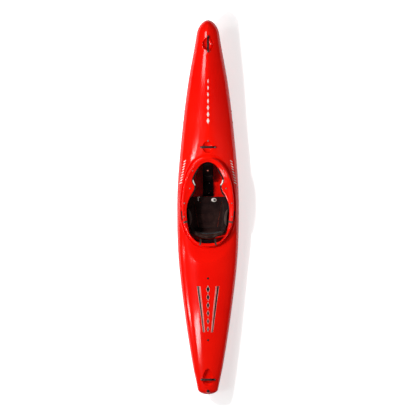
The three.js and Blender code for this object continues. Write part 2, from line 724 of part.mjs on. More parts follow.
// Mirror a right-hand piece to the other side
function onSide(body, sign) {
  const geometry = geometryOf(body);
  return sign > 0 ? geometry : geometryOf(solid(geometry.scale(-1, 1, 1)));
}

const loweredRim = coaming(gap);

// Sweep a profile of [outward from the opening's edge, drop below the flange] along the rim stations
function underFlange(first, last, profileAt, clear) {
  const rings = [];
  for (let i = first; i <= last; i += 1) {
    const station = rim[i];
    const width = Math.hypot(station.crest[0] - station.edge[0], station.crest[1] - station.edge[1]);
    rings.push(profileAt(i, width).map(([out, drop]) => flangePoint(i, out / width, wall + clear + drop)));
  }
  return solid(skin(rings, false));
}

const indexAtY = (y) => {
  let best = 0;
  for (let i = 0; i <= rimSides / 2; i += 1) {
    if (Math.abs(rim[i].edge[1] - y) < Math.abs(rim[best].edge[1] - y)) best = i;
  }
  return best;
};

// Thigh braces: a hooked plate under the flange, with a foam pad below
const braceFront = 385;
const braceRear = 118;
const bracePlate = 5;
const braceHook = 34;
const braceShow = 11;
const braceReach = 58;
const braceChamfer = 4;
const padThickness = 9;
const padInset = 3;

const braceProfile = (grow) => (i, width) => {
  const reach = Math.min(braceReach, width - wall * 1.5) + grow;
  const [inner, hook] = [-braceShow, -braceShow + bracePlate + grow];
  return [
    [reach, -grow], [inner + braceChamfer, -grow], [inner - grow, braceChamfer], [inner - grow, braceHook + grow], [hook, braceHook + grow],
    [hook, bracePlate * 1.6 + grow], [hook + bracePlate * 0.6, bracePlate + grow], [reach, bracePlate + grow],
  ];
};
const padProfile = (i, width) => {
  const inner = -braceShow + bracePlate / 2;
  const top = bracePlate / 2;
  const reach = Math.min(braceReach, width - wall * 1.5) - bracePlate;
  return [
    [reach, top], [inner, top], [inner, braceHook - padInset], [inner + padThickness * 0.9, braceHook - padInset / 3],
    [inner + padThickness * 1.4, braceHook - padThickness], [inner + padThickness * 1.9, top + padThickness * 1.6],
    [reach - padThickness / 2, top + padThickness * 1.3],
  ];
};
const [braceFirst, braceLast] = [indexAtY(braceFront), indexAtY(braceRear)];
for (const [side, sign] of sides) {
  let brace = underFlange(braceFirst, braceLast, braceProfile(0), gap).subtract(loweredRim);
  let pad = underFlange(braceFirst, braceLast, padProfile, gap);
  pad = pad.subtract(underFlange(braceFirst - 1, braceLast + 1, braceProfile(gap), gap));
  for (const bolt of rimBolts.slice(0, 2)) {
    const hole = rod(bolt.x, bolt.y, bolt.seat - overrun * 2.5, bolt.seat, boltShankRadius + gap * 2);
    brace = brace.subtract(hole);
    pad = pad.subtract(hole);
  }
  add(`thigh_brace_${side}`, onSide(brace, sign), finishes.blackPlastic);
  add(`thigh_pad_${side}`, onSide(pad, sign), finishes.foam);
}

// Driving dimensions of the backband and its pivot pins
const bandEndX = 176;
const bandEndY = -232;
const bandApexY = -300;
const bandLow = 118;
const bandHigh = 232;
const bandShell = 5;
const bandPad = 20;
const bandColumns = 14;
const pivotZ = 150;
const pivotRadius = 4;
const pivotHeadRadius = 7.5;
const pivotHeadHeight = 3;
const pivotShoulderRadius = 7;
const pivotShoulderEnd = 184;
const pivotEnd = 199;
const earInner = 174;
const earOuter = 180;
const earWidth = 22;
const earHeight = 28;

// Seat hangers: a tab under the flange, a web down behind the opening's edge, and a shelf under the seat's wing
const hangerFront = 78;
const hangerRear = -262;
const hangerWeb = 5;
const hangerSet = 7;
const hangerTab = 34;
const hangerFoot = 86;
const shelfFront = 48;
const shelfRear = -150;
const shelfInner = 190;
const shelfThickness = 6;
const shelfTop = 104.2;

function hanger() {
  const rings = [];
  for (let i = indexAtY(hangerFront); i <= indexAtY(hangerRear); i += 1) {
    const station = rim[i];
    const width = Math.hypot(station.crest[0] - station.edge[0], station.crest[1] - station.edge[1]);
    const at = (out, drop) => flangePoint(i, out / width, wall + gap + drop);
    const foot = (out) => [...at(out, 0).slice(0, 2), hangerFoot];
    const tab = Math.max(hangerSet + hangerWeb + bracePlate / 2, Math.min(width - wall, hangerTab));
    rings.push([
      at(tab, 0), at(hangerSet, 0), foot(hangerSet),
      foot(hangerSet + hangerWeb), at(hangerSet + hangerWeb, hangerWeb), at(tab, hangerWeb),
    ]);
  }
  const shelfOuter = openingHalfWidth + hangerSet + hangerWeb / 2;
  const shelf = box(shelfOuter - shelfInner, shelfFront - shelfRear, shelfThickness);
  moved(shelf, (shelfOuter + shelfInner) / 2, (shelfFront + shelfRear) / 2, shelfTop - shelfThickness / 2);
  let body = solid(skin(rings, false)).subtract(loweredRim).add(solid(shelf));
  body = body.subtract(crossRod(1, earInner, pivotEnd + overrun, bandEndY, pivotZ, pivotRadius + gap * 2));
  for (const bolt of rimBolts.slice(2)) {
    body = body.subtract(rod(bolt.x, bolt.y, bolt.seat - overrun * 2, bolt.seat, boltShankRadius + boltClearance));
  }
  return body;
}
const hangerBody = hanger();
for (const [side, sign] of sides) add(`seat_hanger_${side}`, onSide(hangerBody, sign), finishes.blackPlastic);

// Seat pan: a moulded bucket on a grid, with a raised front lip, thigh channels and side wings
const seatFront = 112;
const seatRear = -236;
const seatHalfWidth = 196;
const seatShell = 4;
const seatLow = 36;
const seatLipHeight = 92;
const seatWingHeight = 112;
const seatColumns = 18;
const seatRows = 11;
const padCover = 13;
const seatTravel = 18;

// Half width of the seat at a share of the way from its rear to its front
const seatWidthShare = (t) => 1 - 0.16 * (1 - t) ** 3 - 0.05 * t ** 6;
const smooth = (a, b, x) => THREE.MathUtils.smoothstep(x, a, b);

// Height of the pan's upper face at a share across (-1 to 1) and a share along (0 rear to 1 front)
function seatTop(u, t) {
  const lip = (seatLipHeight - seatLow) * smooth(0.55, 0.95, t) * (1 - 0.35 * smooth(0.5, 1, t) * Math.exp(-((Math.abs(u) - 0.5) ** 2) * 18));
  const back = (seatLipHeight - seatLow) * 0.3 * smooth(0.3, 0, t);
  const floor = seatLow + lip + back;
  const wing = (seatWingHeight - floor) * smooth(0.72, 1, Math.abs(u));
  return floor + wing;
}

// Solid between two heights over a plan grid, less a border of whole cells; place(u, t) gives the plan point
function gridSolid(border, place, top, bottom) {
  const rings = [];
  const face = (t, height) => {
    const line = [];
    for (let c = border; c <= seatColumns - border; c += 1) {
      const u = (2 * c) / seatColumns - 1;
      line.push([...place(u, t), height(u, t)]);
    }
    return line;
  };
  for (let r = border; r <= seatRows - border; r += 1) {
    const t = r / seatRows;
    rings.push([...face(t, top), ...face(t, bottom).reverse()]);
  }
  return solid(stitched(rings, seatColumns - 2 * border));
}

// Skin over rings whose two halves face each other, closed at both ends by strips
function stitched(rings, columns) {
  const count = rings[0].length;
  const triangles = [];
  for (let r = 0; r < rings.length - 1; r += 1) {
    for (let i = 0; i < count; i += 1) {
      const j = (i + 1) % count;
      const [a, b, c, d] = [r * count + i, r * count + j, (r + 1) * count + j, (r + 1) * count + i];
      triangles.push(...(i <= columns ? [a, b, c, a, c, d] : [a, b, d, b, c, d]));
    }
  }
  for (const [ring, flip] of [[0, true], [rings.length - 1, false]]) {
    for (let c = 0; c < columns; c += 1) {
      const [a, b] = [ring * count + c, ring * count + c + 1];
      const [d, e] = [ring * count + count - 1 - c, ring * count + count - 2 - c];
      triangles.push(...(flip ? [b, a, d, b, d, e] : [a, b, d, b, e, d]));
    }
  }
  const geometry = new THREE.BufferGeometry();
  geometry.setAttribute('position', new THREE.Float32BufferAttribute(rings.flat(2), 3));
  geometry.setIndex(triangles);
  return geometry;
}

const seatPlace = (u, t) => [u * seatHalfWidth * seatWidthShare(t), THREE.MathUtils.lerp(seatRear, seatFront, t)];
const seatGroup = new THREE.Group();
group.add(seatGroup);
const panBody = gridSolid(0, seatPlace, seatTop, (u, t) => seatTop(u, t) - seatShell);
const skidHalf = 58;
const skidFront = 47;
const skidRear = -211;
const skidOverlap = 1;
const skidTop = seatLow - seatShell + skidOverlap;
const skidBlock = box(skidHalf * 2, skidFront - skidRear, skidTop - wall - gap);
const skid = solid(moved(skidBlock, 0, (skidFront + skidRear) / 2, (skidTop + wall + gap) / 2));
add('seat_pan', geometryOf(panBody.add(skid)), finishes.blackPlastic, seatGroup);

// Seat pad: a padded cover that follows the pan, crowned between its channels
const channelShare = 0.38;
const channelDepthShare = 0.6;
const padSkin = 3;

function padTop(u, t) {
  const edge = Math.min(smooth(0.9, 0.7, Math.abs(u)), smooth(0.08, 0.25, t), smooth(0.93, 0.8, t));
  const line = (Math.abs(u) - channelShare * (0.55 + 0.9 * t)) * 12;
  return seatTop(u, t) + gap + padSkin + padCover * edge * (1 - channelDepthShare * Math.exp(-line * line));
}
add('seat_pad', geometryOf(gridSolid(1, seatPlace, padTop, (u, t) => seatTop(u, t) + gap)), finishes.fabric, seatGroup);

// Hip pads stand on the seat's wings, crowned towards the paddler
const hipFront = -12;
const hipRear = -176;
const hipTop = 236;
const hipThickness = 30;
const hipLean = 5;
const hipTaper = 13;

function hipPad() {
  const rows = 8;
  const rings = [];
  const foot = seatWingHeight + gap;
  for (let r = 0; r <= rows; r += 1) {
    const t = r / rows;
    const y = THREE.MathUtils.lerp(hipRear, hipFront, t);
    const round = Math.sqrt(Math.max(0.05, 1 - (2 * t - 1) ** 4));
    const outer = seatHalfWidth + hipLean - hipTaper * (1 - t) * (1 - t);
    const ring = [];
    const high = THREE.MathUtils.lerp(foot + (hipTop - foot) * 0.4, hipTop, round);
    ring.push([outer, y, foot], [outer, y, high]);
    ring.push([outer - hipThickness * 0.45 * round, y, high], [outer - hipThickness * round, y, THREE.MathUtils.lerp(foot, high, 0.72)]);
    ring.push([outer - hipThickness * 0.9 * round, y, THREE.MathUtils.lerp(foot, high, 0.3)], [outer - hipThickness * 0.5 * round, y, foot]);
    rings.push(ring);
  }
  const seatRoom = gridSolid(0, seatPlace, (u, t) => padTop(u, t) + gap, (u, t) => seatTop(u, t) - seatShell);
  return solid(skin(rings, false)).subtract(seatRoom);
}
for (const [side, sign] of sides) add(`hip_pad_${side}`, onSide(hipPad(), sign), finishes.foam, seatGroup);

// Thigh strap across the seat's front edge, with a hook at its left end and an oval buckle at its right
const strapThickness = 2.5;
const strapWidth = 25;
const strapLeft = -98;
const strapRight = 74;
const strapY = 92;
const hookX = -100;
const hookY = 90;
const hookReach = 22;
const hookStem = 8;
const buckleX = 59;
const buckleY = 80;
const buckleLength = 66;
const buckleBreadth = 43;
const buckleThickness = 5;
const buckleHole = 9;

// Flat strip swept along points of [x, y, z], its width along a fixed direction
function ribbon(points, across, width, thickness) {
  const side = new THREE.Vector3(...across).normalize();
  const path = points.map((p) => new THREE.Vector3(...p));
  const rings = path.map((p, i) => {
    const before = path[Math.max(0, i - 1)];
    const after = path[Math.min(path.length - 1, i + 1)];
    const up = new THREE.Vector3().crossVectors(side, after.clone().sub(before)).normalize();
    const corner = (a, b) => p.clone().addScaledVector(side, a * width / 2).addScaledVector(up, b * thickness / 2).toArray();
    return [corner(1, 1), corner(-1, 1), corner(-1, -1), corner(1, -1)];
  });
  return solid(skin(rings, false));
}

// Height of the seat's upper surface over a plan point, its pad included
function seatSurface(x, y) {
  const t = THREE.MathUtils.clamp((y - seatRear) / (seatFront - seatRear), 0, 1);
  const u = THREE.MathUtils.clamp(x / (seatHalfWidth * seatWidthShare(t)), -1, 1);
  return t < 1 - 1 / seatRows ? padTop(u, t) : seatTop(u, t);
}
const strapSamples = 9;
const strapClear = 1.1;
const strapPoints = Array.from({ length: strapSamples + 1 }, (_, i) => {
  const x = THREE.MathUtils.lerp(strapLeft, strapRight, i / strapSamples);
  const under = [-0.5, 0, 0.5].map((share) => seatSurface(x, strapY + share * strapWidth));
  return [x, strapY, Math.max(...under) + strapThickness / 2 + strapClear];
});
add('thigh_strap', geometryOf(ribbon(strapPoints, [0, 1, 0], strapWidth, strapThickness)), finishes.webbing, seatGroup);

// Height of the strap's middle at a plan x
function strapHeight(x) {
  const place = ((x - strapLeft) / (strapRight - strapLeft)) * strapSamples;
  const i = THREE.MathUtils.clamp(Math.floor(place), 0, strapSamples - 1);
  return THREE.MathUtils.lerp(strapPoints[i][2], strapPoints[i + 1][2], place - i);
}

// The buckle lies along the strap's slope and rests on its highest points
const buckleFrom = buckleX - buckleLength / 2;
const buckleTilt = Math.atan2(strapHeight(buckleFrom) - strapHeight(strapRight), strapRight - buckleFrom);
const buckleLine = (x, z) => z + (x - buckleX) * Math.tan(buckleTilt);
const underBuckle = strapPoints.filter(([x]) => x > buckleFrom).map(([x, , z]) => buckleLine(x, z));
const buckleSeat = Math.max(buckleLine(buckleFrom, strapHeight(buckleFrom)), ...underBuckle)
  + (strapThickness / 2 + gap) / Math.cos(buckleTilt);

function buckle() {
  const outline = new THREE.Shape();
  outline.absellipse(0, 0, buckleLength / 2, buckleBreadth / 2, 0, Math.PI * 2);
  const hole = new THREE.Path();
  hole.absellipse(buckleHole * 0.6, 0, buckleHole, buckleHole * 0.8, 0, Math.PI * 2);
  outline.holes.push(hole);
  return new THREE.ExtrudeGeometry(outline, {
    depth: buckleThickness * 0.4, bevelEnabled: true, bevelThickness: buckleThickness * 0.3, bevelSize: buckleThickness * 0.5,
    bevelOffset: -buckleThickness * 0.5, bevelSegments: 1, curveSegments: 9,
  }).translate(0, 0, buckleThickness * 0.3);
}
const buckleMesh = add('thigh_strap_buckle', buckle(), finishes.whitePlastic, seatGroup);
buckleMesh.position.set(buckleX, buckleY, buckleSeat);
buckleMesh.rotation.y = buckleTilt;

function hook() {
  const outline = new THREE.Shape();
  outline.moveTo(0, -hookReach);
  outline.lineTo(hookStem, -hookReach);
  outline.lineTo(hookStem, hookReach - hookStem);
  outline.lineTo(hookStem * 2.4, hookReach - hookStem);
  outline.lineTo(hookStem * 2.4, hookReach);
  outline.lineTo(0, hookReach);
  return new THREE.ExtrudeGeometry(outline, { depth: strapThickness, bevelEnabled: false });
}
add('thigh_strap_hook', hook(), finishes.whitePlastic, seatGroup)
  .position.set(hookX, hookY, strapHeight(hookX + hookStem * 2.4) + strapThickness / 2 + gap);

// Backband: a curved stiff shell with a crowned pad in front, pivoting on a pin at each end
const bandPadBelow = 2;
const bandPadAbove = 4;
const pinRoom = 1;
const bandPadRoom = 1.5;
const backGroup = new THREE.Group();
backGroup.position.set(0, bandEndY, pivotZ);
group.add(backGroup);

// Plan curve of the band's rear face, u from -1 at the left end to 1 at the right
const bandPoint = (u) => [u * bandEndX, bandApexY + (bandEndY - bandApexY) * u * u];
const bandTopHeight = (u) => bandHigh - (bandHigh - bandLow) * 0.28 * u * u;

function bandSweep(profileAt) {
  const rings = [];
  for (let c = 0; c <= bandColumns; c += 1) {
    const u = (2 * c) / bandColumns - 1;
    const [x, y] = bandPoint(u);
    const slope = 2 * u * (bandEndY - bandApexY) / bandEndX;
    const forward = new THREE.Vector2(-slope, 1).normalize();
    rings.push(profileAt(u).map(([out, z]) => [x + forward.x * out, y + forward.y * out - bandEndY, z - pivotZ]));
  }
  return solid(skin(rings, false));
}
const bandShellBody = bandSweep((u) => [
  [0, bandLow], [bandShell, bandLow], [bandShell, bandTopHeight(u)], [0, bandTopHeight(u)],
]);
const bandPadBody = bandSweep((u) => {
  const face = bandShell + gap;
  const full = bandPad * (0.45 + 0.55 * Math.sqrt(1 - 0.98 * u * u));
  const [low, high] = [bandLow - bandPadBelow, bandTopHeight(u) + bandPadAbove];
  return [
    [face, low], [face + full * 0.6, low], [face + full, THREE.MathUtils.lerp(low, high, 0.25)],
    [face + full * 0.82, (low + high) / 2], [face + full, THREE.MathUtils.lerp(low, high, 0.78)],
    [face + full * 0.55, high], [face, high],
  ];
});
function backbandShell() {
  let body = bandShellBody;
  for (const [, sign] of sides) {
    const ear = moved(box(earOuter - earInner, earWidth, earHeight), sign * (earInner + earOuter) / 2, 0, 0);
    body = body.add(solid(ear));
    body = body.subtract(crossRod(sign, earInner - overrun, earInner, 0, 0, pivotHeadRadius + pinRoom));
    body = body.subtract(crossRod(sign, earInner - overrun, earOuter + overrun, 0, 0, pivotRadius + gap * 2));
  }
  return body;
}

function backbandPad() {
  let body = bandPadBody;
  for (const [, sign] of sides) {
    const reach = overrun + earOuter - earInner;
    const ear = moved(box(reach, earWidth + bandPadRoom * 2, earHeight + bandPadRoom * 2), sign * (earInner - bandPadRoom + reach / 2), 0, 0);
    body = body.subtract(solid(ear));
    body = body.subtract(crossRod(sign, earInner - overrun, earOuter, 0, 0, pivotHeadRadius + bandPadRoom));
  }
  return body;
}
add('backband_shell', geometryOf(backbandShell()), finishes.blackPlastic, backGroup);
add('backband_pad', geometryOf(backbandPad()), finishes.fabric, backGroup);

// Pivot pin along X: head inside, shank through the ear, shoulder, then the hanger's web
function pivotPin() {
  const head = earInner - gap;
  return turned([
    [0, head - pivotHeadHeight], [pivotHeadRadius, head - pivotHeadHeight], [pivotHeadRadius, head], [pivotRadius, head],
    [pivotRadius, earOuter + gap], [pivotShoulderRadius, earOuter + gap], [pivotShoulderRadius, pivotShoulderEnd],
    [pivotRadius, pivotShoulderEnd], [pivotRadius, pivotEnd], [0, pivotEnd],
  ], boltSides + 2).rotateY(Math.PI / 2).translate(0, bandEndY, pivotZ);
}
for (const [side, sign] of sides) {
  const pin = pivotPin();
  add(`backband_pin_${side}`, sign > 0 ? pin : pin.rotateZ(Math.PI).translate(0, bandEndY * 2, 0), finishes.steel);
}

// Rear straps: from behind the backband over the rear of the rim, hooked round its lip
const rearStrapX = 71;
const rearStrapSpread = 7;
const rearStrapWidth = 17;
const rearStrapLow = 198;
const rearStrapHigh = 242;
const rearStrapBack = 10;
const rearStrapFront = 4;
const strapSlack = 2;
const tapeThickness = 2.5;
const tapeClear = 2.5;

// The y of the rim's outlines at a plan x behind the cockpit
const rimRearAt = (x, half, rear) => rear * (1 - (Math.abs(x) / half) ** rimPower) ** (1 / rimPower);

// The y of the opening's rear edge at a plan x
function rearEdgeAt(x) {
  const i = rim.findIndex((station, k) => k > rimSides / 4 && station.edge[0] <= x);
  const [a, b] = [rim[i - 1], rim[i]];
  return THREE.MathUtils.lerp(a.edge[1], b.edge[1], (x - a.edge[0]) / (b.edge[0] - a.edge[0]));
}

function rearStrap() {
  const lipY = rimRearAt(rearStrapX, rimHalfWidth, rimRear);
  const half = rearStrapWidth / 2;
  const [x0, x1] = [rearStrapX, rearStrapX + rearStrapSpread];
  const crestY = rimRearAt(x1 + half, rimHalfWidth, rimRear) + lipWidth + wall;
  const innerY = rearEdgeAt(x0 + half + strapSlack) + tapeClear;
  const over = (x, y) => Math.max(flangeHeight(x - half, y), flangeHeight(x + half, y)) + tapeClear;
  return ribbon([
    [x0, bandApexY + rearStrapFront, rearStrapLow], [x0, bandApexY - rearStrapBack, rearStrapHigh], [x0, innerY, over(x0, innerY) - wall * 2],
    [x0, innerY, over(x0, innerY)], [x1 - strapSlack, crestY, rimCrest(crestY) + tapeClear],
    [x1, lipY - tapeClear, rimCrest(lipY) + tapeClear / 2], [x1, lipY - tapeClear * 1.4, rimCrest(lipY) - lipThickness * 1.6],
  ], [1, 0, 0], rearStrapWidth, tapeThickness);
}
for (const [side, sign] of sides) add(`backband_strap_${side}`, onSide(rearStrap(), sign), finishes.webbing);

// Side tapes: over the flange beside the seat, down inside the opening to the ratchets
const sideTapeY = -134;
const sideTapeWidth = 19;
const tapeLow = 263;
const ratchetFront = -104;
const ratchetRear = -166;
const ratchetLow = 240;
const ratchetHigh = 261;
const ratchetDepth = 10;
const ratchetChamfer = 2;

function edgeAt(y) {
  const i = rim.findIndex((station, k) => k > 0 && station.edge[1] <= y);
  const [a, b] = [rim[i - 1], rim[i]];
  const t = (y - a.edge[1]) / (b.edge[1] - a.edge[1]);
  return { edge: THREE.MathUtils.lerp(a.edge[0], b.edge[0], t), crest: THREE.MathUtils.lerp(a.crest[0], b.crest[0], t) };
}

function sideTape() {
  const { edge, crest } = edgeAt(sideTapeY);
  const top = rimCrest(sideTapeY);
  const outer = crest + lipWidth * 0.8;
  return ribbon([
    [edge - tapeClear * 1.6, sideTapeY, tapeLow], [edge - tapeClear * 1.6, sideTapeY, top - edgeDrop],
    [edge + tapeClear * 0.4, sideTapeY, top - edgeDrop + tapeClear * 1.4], [crest - tapeClear * 0.8, sideTapeY, top + tapeClear],
    [outer, sideTapeY, top + tapeClear - lipThickness / 5],
  ], [0, 1, 0], sideTapeWidth, tapeThickness);
}

function ratchet() {
  const rings = [];
  for (let i = indexAtY(ratchetFront); i <= indexAtY(ratchetRear); i += 1) {
    const station = rim[i];
    const width = Math.hypot(station.crest[0] - station.edge[0], station.crest[1] - station.edge[1]);
    const at = (out, z) => [...flangePoint(i, out / width, 0).slice(0, 2), z];
    const [inner, outer] = [hangerSet - gap - ratchetDepth, hangerSet - gap];
    rings.push([
      at(inner, ratchetLow + ratchetChamfer), at(inner + ratchetChamfer, ratchetLow), at(outer, ratchetLow),
      at(outer, ratchetHigh), at(inner + ratchetChamfer, ratchetHigh), at(inner, ratchetHigh - ratchetChamfer),
    ]);
  }
  return solid(skin(rings, false));
}

const leverLength = 40;
const leverHeight = 14;
const leverThickness = 3;
const leverClear = 0.4;

// The lever's hinge and its closed direction, along the ratchet's inner face
function leverPlace() {
  const at = (i) => {
    const station = rim[i];
    const width = Math.hypot(station.crest[0] - station.edge[0], station.crest[1] - station.edge[1]);
    return flangePoint(i, (hangerSet - gap - ratchetDepth) / width, 0);
  };
  const [front, rear] = [at(indexAtY(ratchetFront)), at(indexAtY(ratchetRear))];
  return { x: front[0], y: front[1], angle: Math.atan2(rear[1] - front[1], rear[0] - front[0]) };
}

function lever() {
  const outline = new THREE.Shape();
  const half = leverHeight / 2;
  outline.moveTo(0, -half);
  outline.lineTo(leverLength * 0.7, -half);
  outline.quadraticCurveTo(leverLength, -half, leverLength, 0);
  outline.quadraticCurveTo(leverLength, half, leverLength * 0.7, half);
  outline.lineTo(0, half);
  const plate = new THREE.ExtrudeGeometry(outline, { depth: leverThickness, bevelEnabled: false, curveSegments: 4 });
  return plate.rotateX(Math.PI / 2);
}
const leverAt = leverPlace();
for (const [side, sign] of sides) {
  add(`side_tape_${side}`, onSide(sideTape(), sign), finishes.webbing);
  add(`ratchet_${side}`, onSide(ratchet(), sign), finishes.blackPlastic);
  const closed = lever().translate(leverThickness * 2, -leverClear, 0).rotateZ(leverAt.angle);
  closed.translate(leverAt.x, leverAt.y, (ratchetLow + ratchetHigh) / 2);
  add(`ratchet_lever_${side}`, onSide(solid(closed), sign), finishes.blackPlastic);
}

// Foot rest: a plate with a foam face, between rails bolted to the hull's sides
const railRear = 790;
const railFront = 1000;
const railHeight = 30;
const railWall = 7;
const plateRest = 866;
const plateTravel = 100;
const plateThickness = 6;
const plateClear = 16;
const footPadThickness = 24;
const footPadInset = 8;
const railGap = 0.5;
const plateHalf = footRailInner - railGap;
const sideBoltLength = 40;
const sideBoltEnd = 2;
const railBossInset = 2;
const railOpeningHeight = 90;

function footRail() {
  const middle = (footBoltPlaces[0].z + footBoltPlaces[1].z) / 2;
  const block = (x, y0, y1, height) => solid(moved(box(hullBeam, y1 - y0, height), x + halfBeam, (y0 + y1) / 2, middle));
  let rail = block(footRailInner, railRear, railFront, railHeight).intersect(innerHull);
  const pocket = block(footRailInner + railWall, railRear + railWall * 2, railFront - railWall * 2, railOpeningHeight);
  rail = rail.subtract(pocket.intersect(hullLoft(wall + railWall * 2)));
  for (const { x, y, z } of footBoltPlaces) {
    const boss = box(x - footRailInner, bossRadius, railHeight - railBossInset);
    rail = rail.add(solid(moved(boss, (x + footRailInner) / 2, y, middle)).intersect(innerHull));
    rail = rail.subtract(crossRod(1, x - sideBoltLength - sideBoltEnd, x + overrun, y, z, boltShankRadius + boltClearance));
  }
  return rail;
}
const sideBolt = () => buttonBolt(sideBoltHeadRadius, boltHeadHeight, boltShankRadius, sideBoltLength).rotateY(Math.PI / 2);
const railBody = footRail();
for (const [side, sign] of sides) {
  add(`foot_rail_${side}`, onSide(railBody, sign), finishes.blackPlastic);
  footBoltPlaces.forEach(({ y, z }, i) => {
    const seat = sectionAt(y - sideBoltHeadRadius, 0).halfWidth + gap;
    add(`foot_rail_bolt_${['rear', 'front'][i]}_${side}`, onSide(solid(sideBolt().translate(seat, y, z)), sign), finishes.steel);
  });
}

function crossSlab(inset, thickness, halfWidth) {
  const front = plateRest + plateTravel + plateThickness;
  const slab = solid(moved(box(halfWidth * 2, thickness, rimFrontHeight * 2), 0, front - thickness / 2, 0));
  return geometryOf(slab.intersect(hullLoft(wall + inset)));
}
add('foot_plate', crossSlab(plateClear, plateThickness, plateHalf).translate(0, -plateTravel, 0), finishes.blackPlastic);
add('foot_plate_pad', crossSlab(plateClear + footPadInset, footPadThickness, plateHalf - footPadInset)
  .translate(0, -plateTravel - plateThickness - gap, 0), finishes.foam);

// Floor rail between the seat and the front pillar
const floorRailHeight = 20;
const floorRailChamfer = 5;

function floorRail() {
  const [low, high] = [wall + gap, wall + gap + floorRailHeight];
  const rear = seatFront + seatTravel + gap * 4;
  const front = frontPillarFoot - gap;
  const ring = (y) => [
    [-pillarHalfWidth, y, low], [pillarHalfWidth, y, low], [pillarHalfWidth, y, high - floorRailChamfer],
    [pillarHalfWidth - floorRailChamfer, y, high], [-pillarHalfWidth + floorRailChamfer, y, high],
    [-pillarHalfWidth, y, high - floorRailChamfer],
  ];
  let rail = solid(skin([ring(front), ring(rear)], false));
  for (const share of [0.25, 0.75]) {
    rail = rail.subtract(rod(0, THREE.MathUtils.lerp(rear, front, share), low - overrun, high + overrun, pillarHalfWidth * 0.3, roundSides));
  }
  return geometryOf(rail);
}
add('floor_rail', floorRail(), finishes.foam);

export default group;
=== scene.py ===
import math

import bpy
import numpy as np
from mathutils import Matrix, Vector


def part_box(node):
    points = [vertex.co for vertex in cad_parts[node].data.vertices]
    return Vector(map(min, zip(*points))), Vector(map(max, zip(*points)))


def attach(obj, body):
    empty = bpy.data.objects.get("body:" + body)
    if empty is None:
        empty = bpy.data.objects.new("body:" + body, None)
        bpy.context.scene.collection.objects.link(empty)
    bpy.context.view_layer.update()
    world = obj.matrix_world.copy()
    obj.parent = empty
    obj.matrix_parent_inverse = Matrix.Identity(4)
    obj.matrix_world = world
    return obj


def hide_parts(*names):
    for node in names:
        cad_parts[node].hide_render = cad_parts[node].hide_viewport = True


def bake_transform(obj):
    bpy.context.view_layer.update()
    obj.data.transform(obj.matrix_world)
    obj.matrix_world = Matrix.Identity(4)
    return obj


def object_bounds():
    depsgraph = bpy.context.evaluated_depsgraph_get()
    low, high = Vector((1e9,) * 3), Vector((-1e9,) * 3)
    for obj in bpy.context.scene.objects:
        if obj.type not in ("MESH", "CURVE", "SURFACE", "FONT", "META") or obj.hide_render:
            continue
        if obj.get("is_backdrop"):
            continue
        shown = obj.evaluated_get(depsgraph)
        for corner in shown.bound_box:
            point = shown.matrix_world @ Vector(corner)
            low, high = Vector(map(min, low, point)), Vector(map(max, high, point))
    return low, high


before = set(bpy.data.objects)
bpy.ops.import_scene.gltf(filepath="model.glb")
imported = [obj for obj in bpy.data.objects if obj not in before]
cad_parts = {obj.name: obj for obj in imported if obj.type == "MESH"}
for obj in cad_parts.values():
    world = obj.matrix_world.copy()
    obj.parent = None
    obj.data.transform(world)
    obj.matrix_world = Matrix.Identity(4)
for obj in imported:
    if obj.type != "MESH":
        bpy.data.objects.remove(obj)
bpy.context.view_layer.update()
SIDES = ((-1, "left"), (1, "right"))

# ---------------------------------------------------------------- working by hand


def clear_selection():
    if bpy.context.object and bpy.context.object.mode != "OBJECT":
        bpy.ops.object.mode_set(mode="OBJECT")
    bpy.ops.object.select_all(action="DESELECT")


def pick(piece):
    clear_selection()
    piece.select_set(True)
    bpy.context.view_layer.objects.active = piece


def edit_all(piece):
    pick(piece)
    bpy.ops.object.mode_set(mode="EDIT")
    bpy.ops.mesh.select_all(action="SELECT")


def finish_edit():
    bpy.ops.object.mode_set(mode="OBJECT")


def modify(piece, kind, **settings):
    pick(piece)
    modifier = piece.modifiers.new(kind.title(), kind)
    for name, value in settings.items():
        setattr(modifier, name, value)
    bpy.ops.object.modifier_apply(modifier=modifier.name)


def points_of(piece):
    values = np.zeros(len(piece.data.vertices) * 3)
    piece.data.vertices.foreach_get("co", values)
    return values.reshape(-1, 3)


def place_points(piece, points):
    piece.data.vertices.foreach_set("co", np.asarray(points, float).ravel())
    piece.data.update()


def settle(piece):
    pick(piece)
    bpy.ops.object.transform_apply(location=True, rotation=True, scale=True)


def smooth(piece, degrees=None):
    pick(piece)
    if degrees is None:
        bpy.ops.object.shade_smooth()
    else:
        bpy.ops.object.shade_smooth_by_angle(angle=math.radians(degrees))


def lofted(name, rings, round_ring=True, round_run=False, capped=True):
    """A grid laid over rings of points, with its seams merged and its ends closed."""
    rings = np.asarray(rings, float)
    along, across = rings.shape[:2]
    columns = across if round_ring else across - 1
    rows = along if round_run else along - 1
    clear_selection()
    bpy.ops.mesh.primitive_grid_add(x_subdivisions=columns, y_subdivisions=rows, size=1)
    piece = bpy.context.object
    piece.name = piece.data.name = name
    flat = points_of(piece)
    i = np.rint((flat[:, 0] + 0.5) * columns).astype(int) % across
    j = np.rint((flat[:, 1] + 0.5) * rows).astype(int) % along
    place_points(piece, rings[j, i])
    edit_all(piece)
    bpy.ops.mesh.remove_doubles(threshold=1e-7)
    if capped and not round_run:
        bpy.ops.mesh.select_all(action="SELECT")
        bpy.ops.mesh.fill_holes(sides=0)
    bpy.ops.mesh.select_all(action="SELECT")
    bpy.ops.mesh.normals_make_consistent(inside=False)
    finish_edit()
    smooth(piece)
    return piece


def joined(name, pieces):
    clear_selection()
    for piece in pieces:
        piece.select_set(True)
    bpy.context.view_layer.objects.active = pieces[0]
    bpy.ops.object.join()
    pieces[0].name = pieces[0].data.name = name
    return pieces[0]


